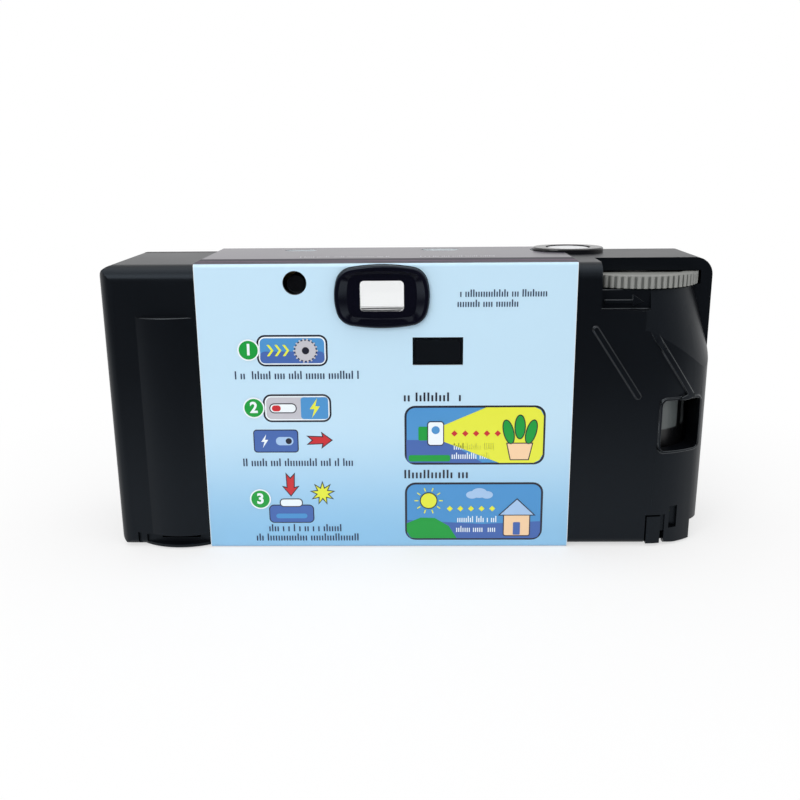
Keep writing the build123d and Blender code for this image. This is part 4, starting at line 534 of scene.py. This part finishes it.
# The printed sleeve: coated card folded round the body and glued underneath, with die-cut
# openings. It is pale blue on the back, which deepens towards the foot, and dark and glossy over
# the top and front. The cuts and the trimmed edges show the white of the card.
LABEL_Y = -14.75
INK_FROM_FOLD = (0.30, 0.36)    # from the back's face, where its print ends past the rear fold
FRONT_FROM_Y = 14.6
STRIPE_LEAN = 0.55
CARD_SKIN, EDGE_TRIM = 0.03, 0.1
BACK_PALE, BACK_DEEP = (0.546, 0.760, 0.913, 1), (0.275, 0.548, 0.800, 1)
PLUM = (0.045, 0.036, 0.060, 1)
CARD_WHITE = (0.80, 0.86, 0.90, 1)
HALF_DEEP, MID_HEIGHT, FOLD_R = 14.75, 28.5, 0.8
printed_card = finish("printed_card", PLUM[:3], PLUM[:3], 0.3, 0.1, (25, 0.12), (900, 0.003),
                      Coat_Weight=0.15, Coat_Roughness=0.12)
tree = printed_card.node_tree
x, y, z = coordinates(tree)
sky = blend(tree, ramp(tree, z, 2 * MM, 29 * MM), BACK_DEEP, BACK_PALE)
past_fold = ramp(tree, y, *((LABEL_Y + reach) * MM for reach in INK_FROM_FOLD))
slant = maths(tree, "ADD", x, maths(tree, "MULTIPLY", z, STRIPE_LEAN))
front = maths(tree, "GREATER_THAN", y, FRONT_FROM_Y * MM)
print_tone = blend(tree, past_fold, sky, PLUM)
for start, width, stripe in ((-21, 3.2, BACK_DEEP), (-16.6, 1.1, (0.80, 0.84, 0.06, 1))):
    on_stripe = maths(tree, "MULTIPLY", front, maths(
        tree, "COMPARE", slant, (start + width / 2) * MM, width / 2 * MM))
    print_tone = blend(tree, on_stripe, print_tone, stripe)
deep = maths(tree, "SUBTRACT", maths(tree, "ABSOLUTE", y), HALF_DEEP * MM)
tall = maths(tree, "SUBTRACT", maths(tree, "ABSOLUTE", maths(
    tree, "SUBTRACT", z, MID_HEIGHT * MM)), MID_HEIGHT * MM)
off_face = maths(tree, "LESS_THAN", maths(tree, "MAXIMUM", deep, tall), -CARD_SKIN * MM)
off_fold = maths(tree, "LESS_THAN", maths(tree, "MINIMUM", deep, tall), -FOLD_R * MM)
sleeve_low, sleeve_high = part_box("sleeve")
trim = maths(tree, "MAXIMUM", maths(tree, "LESS_THAN", x, sleeve_low[0] + EDGE_TRIM * MM),
             maths(tree, "GREATER_THAN", x, sleeve_high[0] - EDGE_TRIM * MM))
trim = maths(tree, "MULTIPLY", trim, maths(tree, "SUBTRACT", 1.0, past_fold))
core = maths(tree, "MAXIMUM", maths(tree, "MULTIPLY", off_face, off_fold), trim)
surface = tree.nodes["surface"]
for socket in ("Color", "Shade"):
    tree.links.new(blend(tree, core, print_tone, CARD_WHITE), surface.inputs[socket])
softened("sleeve", printed_card)


# The printing on the back: three numbered steps on the left and two range pictures on the right,
# with strokes in place of words. Each ink is a thin film on the card.
def ink(name, red, green, blue, gloss=0.3):
    """A printing ink whose colour is given in screen values from 0 to 255."""
    tone = [((v / 255 + 0.055) / 1.055) ** 2.4 if v > 10 else v / 3295 for v in (red, green, blue)]
    return finish(name, tone, [0.93 * v for v in tone], gloss, 0.08, (60, 0.5), (900, 0.002))


inks = {
    "navy": ink("ink_navy", 24, 40, 78), "black": ink("ink_black", 30, 30, 48),
    "white": ink("ink_white", 240, 248, 252), "grey": ink("ink_grey", 196, 195, 203),
    "sky": ink("ink_sky", 74, 148, 208), "blue": ink("ink_blue", 68, 104, 176),
    "green": ink("ink_green", 8, 158, 58), "red": ink("ink_red", 204, 38, 46),
    "yellow": ink("ink_yellow", 232, 236, 62), "peach": ink("ink_peach", 250, 212, 170),
    "ice": ink("ink_ice", 168, 200, 236),
}


def rounded(x0, x1, z0, z1, radius):
    """The outline of a rounded rectangle, across and up."""
    corners = ((x1 - radius, z1 - radius, 0), (x0 + radius, z1 - radius, 90),
               (x0 + radius, z0 + radius, 180), (x1 - radius, z0 + radius, 270))
    return [(x + radius * cos(radians(start + turn)), z + radius * sin(radians(start + turn)))
            for x, z, start in corners for turn in range(0, 91, 15)]


def disc(x, z, across, up=None, points=36):
    """The outline of an ellipse."""
    up = up or across
    return [(x + across * cos(2 * pi * i / points), z + up * sin(2 * pi * i / points))
            for i in range(points)]


def star(x, z, outer, inner, arms, start=90):
    """The outline of a star."""
    reach = [outer, inner] * arms
    return [(x + r * cos(radians(start + 180 * i / arms)),
             z + r * sin(radians(start + 180 * i / arms))) for i, r in enumerate(reach)]


def arrow(x, z, length, turn):
    """The outline of a broad arrow with its tip at a point."""
    shape = ((0, 0), (-1.7, 1.35), (-1.5, 0.6), (-length, 0.75), (-length + 0.9, 0),
             (-length, -0.75), (-1.5, -0.6), (-1.7, -1.35))
    c, s = cos(radians(turn)), sin(radians(turn))
    return [(x + a * c - b * s, z + a * s + b * c) for a, b in shape]


def panel(x0, x1, z0, z1, fill, radius=1.6, white_line=True):
    """A framed picture ground: dark outline, white line and fill, on layers 1 to 3."""
    inset = 0.62 if white_line else 0.42
    layers = [(rounded(x0, x1, z0, z1, radius), "black", 1)]
    if white_line:
        layers.append((rounded(x0 + 0.36, x1 - 0.36, z0 + 0.36, z1 - 0.36, radius - 0.36),
                       "white", 2))
    layers.append((rounded(x0 + inset, x1 - inset, z0 + inset, z1 - inset, radius - inset),
                   fill, 3))
    return layers


def outlined(points, tone, layer, rim=0.2):
    """A shape with a dark rim round it; its points run anticlockwise."""
    grown = []
    for before, here, after in zip(points[-1:] + points[:-1], points, points[1:] + points[:1]):
        ahead = (Vector(after) - Vector(here)).normalized()
        behind = (Vector(here) - Vector(before)).normalized()
        middle = (ahead + behind).normalized()
        reach = rim / max(middle.dot(ahead), 0.4)
        grown.append((here[0] + reach * middle.y, here[1] - reach * middle.x))
    return [(grown, "black", layer), (points, tone, layer + 1)]


INK_LAYER = 0.012


def printed(name, shapes, top=None):
    """Flat shapes of points, ink and layer on the sleeve's back, or on a top, as one piece."""
    tones = sorted({tone for points, tone, layer in shapes})
    mesh = bpy.data.meshes.new(name)
    shape = bmesh.new()
    for points, tone, layer in shapes:
        lift = INK_LAYER * layer
        face = shape.faces.new([
            shape.verts.new((x, z, top + lift) if top else (x, LABEL_Y - lift, z))
            for x, z in points])
        face.material_index = tones.index(tone)
    shape.normal_update()
    bmesh.ops.triangulate(shape, faces=shape.faces)
    shape.to_mesh(mesh)
    shape.free()
    mesh.transform(Matrix.Scale(MM, 4))
    for tone in tones:
        mesh.materials.append(inks[tone])
    piece = bpy.data.objects.new(name, mesh)
    scene.collection.objects.link(piece)
    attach(piece, "camera_body")


def numeral(name, text, size, weight, material, body, placing):
    """A number in the plain built-in face, as a flat mesh."""
    curve = bpy.data.curves.new(name, "FONT")
    curve.body, curve.size, curve.offset = text, size * MM, weight * MM
    curve.align_x, curve.align_y = "CENTER", "CENTER"
    curve.resolution_u = 4
    letter = bpy.data.objects.new(name + "_curve", curve)
    mesh = bpy.data.meshes.new_from_object(letter)
    bpy.data.objects.remove(letter)
    mesh.transform(placing)
    mesh.name = name
    mesh.materials.clear()
    mesh.materials.append(material)
    piece = bpy.data.objects.new(name, mesh)
    scene.collection.objects.link(piece)
    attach(piece, body)


TALL_FROM = 0.68    # a stroke is a tall one when its random draw is above this


def marks_tree(name, ring):
    """A row or a ring of flat strokes, some taller than others, with gaps between groups."""
    tree = bpy.data.node_groups.new(name, "GeometryNodeTree")
    tree.interface.new_socket("Geometry", in_out="OUTPUT", socket_type="NodeSocketGeometry")
    sockets = (("Count", "Int"), ("Pitch", "Float"), ("Radius", "Float"), ("Width", "Float"),
               ("Height", "Float"), ("Tall", "Float"), ("Gap Share", "Float"), ("Seed", "Int"),
               ("Place", "Vector"), ("Turn", "Vector"), ("Ink", "Material"))
    for label, kind in sockets:
        tree.interface.new_socket(label, in_out="INPUT", socket_type="NodeSocket" + kind)
    given = tree.nodes.new("NodeGroupInput").outputs
    result = tree.nodes.new("NodeGroupOutput")

    def made(kind, links, **settings):
        node = tree.nodes.new(kind)
        for key, value in settings.items():
            setattr(node, key, value)
        for label, value in links.items():
            sockets = [s for s in node.inputs if s.name == label and s.enabled]
            feed(tree, sockets[0], value)
        return node

    index = tree.nodes.new("GeometryNodeInputIndex").outputs[0]
    if ring:
        base = made("GeometryNodeMeshCircle", {"Vertices": given["Count"],
                                               "Radius": given["Radius"]})
        step = maths(tree, "DIVIDE", 2 * pi, given["Count"])
        angle = maths(tree, "SUBTRACT", maths(tree, "MULTIPLY", index, step), pi / 2)
        turn = made("ShaderNodeCombineXYZ", {"Z": angle}).outputs[0]
    else:
        run = made("ShaderNodeCombineXYZ", {"X": given["Pitch"]}).outputs[0]
        base = made("GeometryNodeMeshLine", {"Count": given["Count"], "Offset": run})
        turn = (0, 0, 0)
    gap = made("FunctionNodeRandomValue", {"Probability": given["Gap Share"],
                                           "Seed": given["Seed"]}, data_type="BOOLEAN")
    points = made("GeometryNodeDeleteGeometry", {
        "Geometry": base.outputs["Mesh"], "Selection": [s for s in gap.outputs if s.enabled][0]})
    stroke = made("GeometryNodeMeshGrid", {"Size X": given["Width"], "Size Y": given["Height"]})
    raised = made("ShaderNodeCombineXYZ", {"Y": maths(tree, "MULTIPLY", given["Height"], 0.5)})
    footed = made("GeometryNodeTransform", {"Geometry": stroke.outputs["Mesh"],
                                            "Translation": raised.outputs[0]})
    stroke.inputs["Vertices X"].default_value = stroke.inputs["Vertices Y"].default_value = 2
    lot = made("FunctionNodeRandomValue", {"Seed": maths(tree, "ADD", given["Seed"], 7)})
    chosen = maths(tree, "GREATER_THAN", [s for s in lot.outputs if s.enabled][0], TALL_FROM)
    height = maths(tree, "ADD", 1.0, maths(tree, "MULTIPLY", chosen, given["Tall"]))
    scale = made("ShaderNodeCombineXYZ", {"X": 1.0, "Y": height, "Z": 1.0}).outputs[0]
    copies = made("GeometryNodeInstanceOnPoints", {
        "Points": points.outputs[0], "Instance": footed.outputs[0], "Rotation": turn,
        "Scale": scale})
    placed = made("GeometryNodeTransform", {
        "Geometry": copies.outputs[0], "Translation": given["Place"],
        "Rotation": given["Turn"]})
    real = made("GeometryNodeRealizeInstances", {"Geometry": placed.outputs[0]})
    inked = made("GeometryNodeSetMaterial", {"Geometry": real.outputs[0],
                                             "Material": given["Ink"]})
    tree.links.new(inked.outputs[0], result.inputs[0])
    return tree


row_of_marks = marks_tree("row_of_marks", False)
ring_of_marks = marks_tree("ring_of_marks", True)
UPRIGHT, FLAT = (pi / 2, 0, 0), (0, 0, 0)


def marks(name, tree, material, body="camera_body", place=(0, 0, 0), turn=UPRIGHT, count=10,
          pitch=0.5, radius=1.0, width=0.2, height=1.0, tall=0.0, gap_share=0.0, seed=1):
    """Runs one of the two trees with sizes in millimetres and keeps the result as a mesh."""
    empty = bpy.data.objects.new(name + "_source", bpy.data.meshes.new(name + "_source"))
    scene.collection.objects.link(empty)
    modifier = empty.modifiers.new("marks", "NODES")
    modifier.node_group = tree
    values = {"Count": count, "Pitch": pitch * MM, "Radius": radius * MM, "Width": width * MM,
              "Height": height * MM, "Tall": tall, "Gap Share": gap_share, "Seed": seed,
              "Place": [v * MM for v in place], "Turn": turn, "Ink": material}
    for item in tree.interface.items_tree:
        if item.in_out == "INPUT":
            modifier[item.identifier] = values[item.name]
    evaluated = empty.evaluated_get(bpy.context.evaluated_depsgraph_get())
    mesh = bpy.data.meshes.new_from_object(evaluated)
    bpy.data.objects.remove(empty)
    mesh.name = name
    piece = bpy.data.objects.new(name, mesh)
    scene.collection.objects.link(piece)
    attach(piece, body)


STROKE_LIFT = 0.06


def word_line(name, x0, x1, z, seed, tone="navy", weight=0.22, height=0.95, top=None):
    """A line of upright strokes the size of small print, on the sleeve's back or on its top."""
    pitch = 2.1 * weight
    marks(name, row_of_marks, inks[tone], count=int((x1 - x0) / pitch), pitch=pitch,
          place=(x0, z, top + STROKE_LIFT) if top else (x0, LABEL_Y - STROKE_LIFT, z),
          turn=FLAT if top else UPRIGHT, width=weight, height=height, tall=0.45,
          gap_share=0.14, seed=seed)


step_one = panel(-29.3, -15.8, 37.4, 43.5, "sky")
step_one += [(rounded(-28.7, -16.4, 38.0, 40.3, 0.9), "blue", 4)]
step_one += outlined(disc(-20.0, 40.45, 1.95), "grey", 6)
step_one += [(disc(-20.0, 40.45, 0.7), "black", 8)]
for x in (-27.4, -25.9, -24.4):
    step_one.append(([(x, 41.6), (x + 0.5, 41.6), (x + 1.3, 40.5), (x + 0.5, 39.4), (x, 39.4),
                      (x + 0.8, 40.5)], "yellow", 5))
printed("step_one_picture", step_one)
marks("step_one_ribs", ring_of_marks, inks["grey"], place=(-20.0, LABEL_Y - 0.115, 40.45),
      count=18, radius=1.9, width=0.3, height=0.45)

bolt = [(0.5, 2.0), (-1.0, -0.2), (-0.1, -0.2), (-0.6, -2.0), (1.0, 0.4), (0.1, 0.4)]
step_two = panel(-28.6, -15.4, 26.3, 31.9, "grey")
step_two += [(rounded(-21.3, -16.0, 26.9, 31.3, 0.6), "sky", 4)]
step_two += outlined(rounded(-27.2, -22.3, 28.3, 29.9, 0.75), "white", 5)
step_two += [(rounded(-26.9, -25.2, 28.5, 29.7, 0.55), "red", 7)]
step_two += [([(-18.6 + a, 29.1 + b) for a, b in bolt], "yellow", 6)]
step_two += outlined(rounded(-30.6, -22.2, 20.3, 24.6, 0.5), "blue", 1)
step_two += [([(-28.6 + 0.7 * a, 22.45 + 0.7 * b) for a, b in bolt], "white", 4),
             (rounded(-26.4, -23.0, 21.6, 23.3, 0.8), "ice", 4),
             (disc(-23.9, 22.45, 0.6), "black", 5)]
step_two += outlined(arrow(-15.6, 22.6, 4.4, 0), "red", 1)
printed("step_two_picture", step_two)

step_three = outlined(rounded(-28.2, -19.6, 5.5, 9.0, 0.8), "blue", 1)
step_three += outlined(rounded(-26.0, -21.8, 8.9, 10.3, 0.6), "white", 3)
step_three += [(rounded(-27.0, -20.8, 6.3, 7.3, 0.5), "sky", 4)]
step_three += outlined(arrow(-23.9, 11.2, 4.3, -90), "red", 1)
step_three += outlined(star(-17.6, 11.6, 2.1, 0.95, 9), "yellow", 1)
printed("step_three_picture", step_three)

discs = []
for text, x, z in (("1", -30.9, 40.6), ("2", -30.4, 29.2), ("3", -30.0, 10.4)):
    discs += [(disc(x, z, 2.1), "white", 9), (disc(x, z, 1.82), "green", 10)]
    numeral("step_number_" + text, text, 3.0, 0.1, inks["white"], "camera_body",
            Matrix.Translation((x * MM, (LABEL_Y - 0.14) * MM, z * MM))
            @ Matrix.Rotation(pi / 2, 4, "X"))
printed("step_discs", discs)

indoors = panel(-1.3, 26.0, 17.5, 29.5, "sky", 2.1, white_line=False)
indoors += [([(-0.9, 18.6), (-0.4, 17.95), (14, 17.85), (10.0, 20.4), (6.6, 22.4), (6.6, 22.6),
              (-0.95, 22.6)], "blue", 4),
            ([(6.4, 22.2), (17.2, 17.86), (23.9, 17.86), (25.0, 18.4), (25.62, 19.6),
              (25.62, 27.4), (25.0, 28.6), (23.9, 29.14), (14.5, 29.14), (6.4, 25.6)],
             "yellow", 5)]
indoors += outlined(rounded(3.3, 6.2, 21.6, 26.2, 0.5), "white", 6)
indoors += [(rounded(1.4, 3.2, 22.5, 25.3, 0.3), "green", 6), (disc(4.75, 24.6, 0.8), "sky", 8)]
indoors += [(rounded(-0.5, 7.6, 18.2, 19.5, 0.4), "green", 6)]
indoors += outlined([(19.4, 18.6), (22.8, 18.6), (23.5, 21.8), (18.7, 21.8)], "peach", 6)
for x, z, lean in ((21.1, 25.2, 0), (18.9, 24.2, 1), (23.3, 24.2, -1)):
    leaf = [(x + 0.9 * a - lean * 0.5 * b, z + 2.3 * b) for a, b in disc(0, 0, 1, points=24)]
    indoors += outlined(leaf, "green", 8)
indoors += [(star(x, 23.9, 0.62, 0.62, 2), "red", 7) for x in (8.4, 10.5, 12.6, 14.7, 16.8)]
printed("indoor_picture", indoors)

outdoors = panel(-1.3, 26.0, 1.6, 13.8, "sky", 2.1, white_line=False)
outdoors += [([(-0.9, 2.9), (-0.3, 2.1), (0.6, 1.95), (24.2, 1.95), (25.1, 2.2), (25.62, 3.2),
               (25.62, 5.6), (14.0, 5.0), (-0.95, 5.9)], "blue", 4),
             ([(-0.95, 3.4), (-0.2, 2.15), (0.7, 1.97), (9.0, 1.97), (7.4, 4.6), (4.6, 6.3),
               (1.8, 6.4), (-0.95, 5.2)], "green", 5)]
outdoors += outlined(disc(3.4, 10.0, 1.55), "yellow", 6)
outdoors += outlined(rounded(18.4, 23.4, 2.6, 7.2, 0.3), "peach", 6)
outdoors += outlined([(17.6, 7.0), (24.2, 7.0), (20.9, 10.2)], "ice", 8)
outdoors += [(rounded(20.2, 21.6, 2.7, 5.4, 0.2), "blue", 8)]
for level, (x, z, size) in enumerate(((12.0, 11.2, 1.0), (14.9, 11.2, 1.0), (13.4, 11.6, 1.3))):
    outdoors.append((disc(x, z, size * 1.2, size * 0.8), "ice", 6 + level))
outdoors += [(star(x, 8.3, 0.6, 0.6, 2), "yellow", 7) for x in (7.6, 9.7, 11.8, 13.9, 16.0)]
printed("outdoor_picture", outdoors)
marks("sun_rays", ring_of_marks, inks["yellow"], place=(3.4, LABEL_Y - 0.1, 10.0), count=10,
      radius=2.05, width=0.22, height=0.75)

# each line's name, left and right end, foot, ink, stroke and height
print_lines = (
    ("film_note_1", 8.9, 26.2, 50.55, "navy", 0.23, 0.95),
    ("film_note_2", 8.9, 20.8, 48.65, "navy", 0.23, 0.95),
    ("step_one_note", -33.6, -8.8, 34.9, "navy", 0.26, 1.1),
    ("step_two_note", -32.9, -11.0, 17.3, "navy", 0.26, 1.1),
    ("step_three_note_1", -28.4, -13.4, 3.5, "navy", 0.26, 1.05),
    ("step_three_note_2", -31.0, -9.8, 1.5, "navy", 0.26, 1.05),
    ("indoor_note", -1.2, 10.2, 30.4, "black", 0.36, 1.2),
    ("outdoor_note", -1.2, 12.4, 14.7, "black", 0.36, 1.2),
    ("indoor_range_1", 8.4, 16.6, 20.6, "white", 0.20, 0.9),
    ("indoor_range_2", 8.0, 15.8, 18.7, "white", 0.20, 0.9),
    ("outdoor_range_1", 9.2, 17.2, 5.4, "white", 0.20, 0.9),
    ("outdoor_range_2", 9.0, 17.0, 3.3, "white", 0.20, 0.9),
)
for seed, (name, x0, x1, z, tone, weight, height) in enumerate(print_lines):
    word_line(name, x0, x1, z, 11 + seed, tone, weight, height)

# On the sleeve's top: a dark strip of painted shade along the rear fold with a pink painted
# highlight along the crease in it, and two lines of printed strokes in pale ink, all as thin films
# on the card.
inks["plum"] = finish("ink_fold_shade", (0.018, 0.014, 0.026), (0.026, 0.021, 0.036), 0.5, 0.1,
                      (60, 0.5), (900, 0.002), Specular_IOR_Level=0.12)
inks["pink"] = finish("ink_fold_highlight", (0.22, 0.12, 0.20), (0.18, 0.10, 0.17), 0.5, 0.1, (60, 0.5),
                      (900, 0.002), Specular_IOR_Level=0.12)
SLEEVE_TOP = sleeve_high[2] / MM
SLEEVE_X0, SLEEVE_X1 = sleeve_low[0] / MM, sleeve_high[0] / MM


def strip(x0, x1, y0, y1):
    """The outline of a plain rectangle."""
    return [(x0, y0), (x1, y0), (x1, y1), (x0, y1)]


# the dark strip is painted shade and the pink rule is a painted highlight, not print
printed("top_fold_shade_and_highlight", [
    (strip(SLEEVE_X0, SLEEVE_X1, -13.9, -7.4), "plum", 1),
    (strip(SLEEVE_X0, SLEEVE_X1, -12.2, -11.6), "pink", 2)], SLEEVE_TOP)
word_line("top_note_1", -21.5, -3.5, -5.6, 31, "grey", 0.2, 0.9, SLEEVE_TOP)
word_line("top_note_2", 2.0, 17.0, -5.6, 32, "grey", 0.2, 0.9, SLEEVE_TOP)

# The seam between the two covers: an open line over the top, where the two mouldings snap
# together without glue. It lies in its own shadow.
CASE_TOP, SEAM_Y0, SEAM_Y1, CORNER_X = 56.6, 10.45, 11.05, -56.6
inks["seam"] = finish("seam_shadow", (0.002, 0.002, 0.002), (0.003, 0.003, 0.003), 0.9, 0.05,
                      (60, 0.5), (900, 0.002), Specular_IOR_Level=0.0)
printed("cover_seam", [(strip(CORNER_X, SLEEVE_X0 - 0.1, SEAM_Y0, SEAM_Y1), "seam", 1)], CASE_TOP)

# The frame counter's face: ticks and plain numbers printed on the disc, read through the small
# window in the top.
DIAL_AXIS_AND_INK = (11.0, 3.6, 54.42)
FRAMES, DIAL_TICKS, LAST_FEW = 27, 30, 7
TICK_R, NUMBER_R, FIRST_NUMBER_AT = 7.9, 6.9, 134
marks("counter_ticks", ring_of_marks, inks["black"], "counter", DIAL_AXIS_AND_INK, FLAT,
      count=DIAL_TICKS, radius=TICK_R, width=0.18, height=0.7)
on_dial = Matrix.Translation([v * MM for v in DIAL_AXIS_AND_INK])
outward_on_dial = Matrix.Translation((NUMBER_R * MM, 0, 0)) @ Matrix.Rotation(-pi / 2, 4, "Z")
for taken in range(0, FRAMES + 1, 3):
    left = FRAMES - taken
    around = Matrix.Rotation(radians(FIRST_NUMBER_AT - taken * 360 / DIAL_TICKS), 4, "Z")
    numeral("counter_number_%d" % left, str(left), 1.5, 0.02,
            inks["red" if left < LAST_FEW else "black"], "counter",
            on_dial @ around @ outward_on_dial)
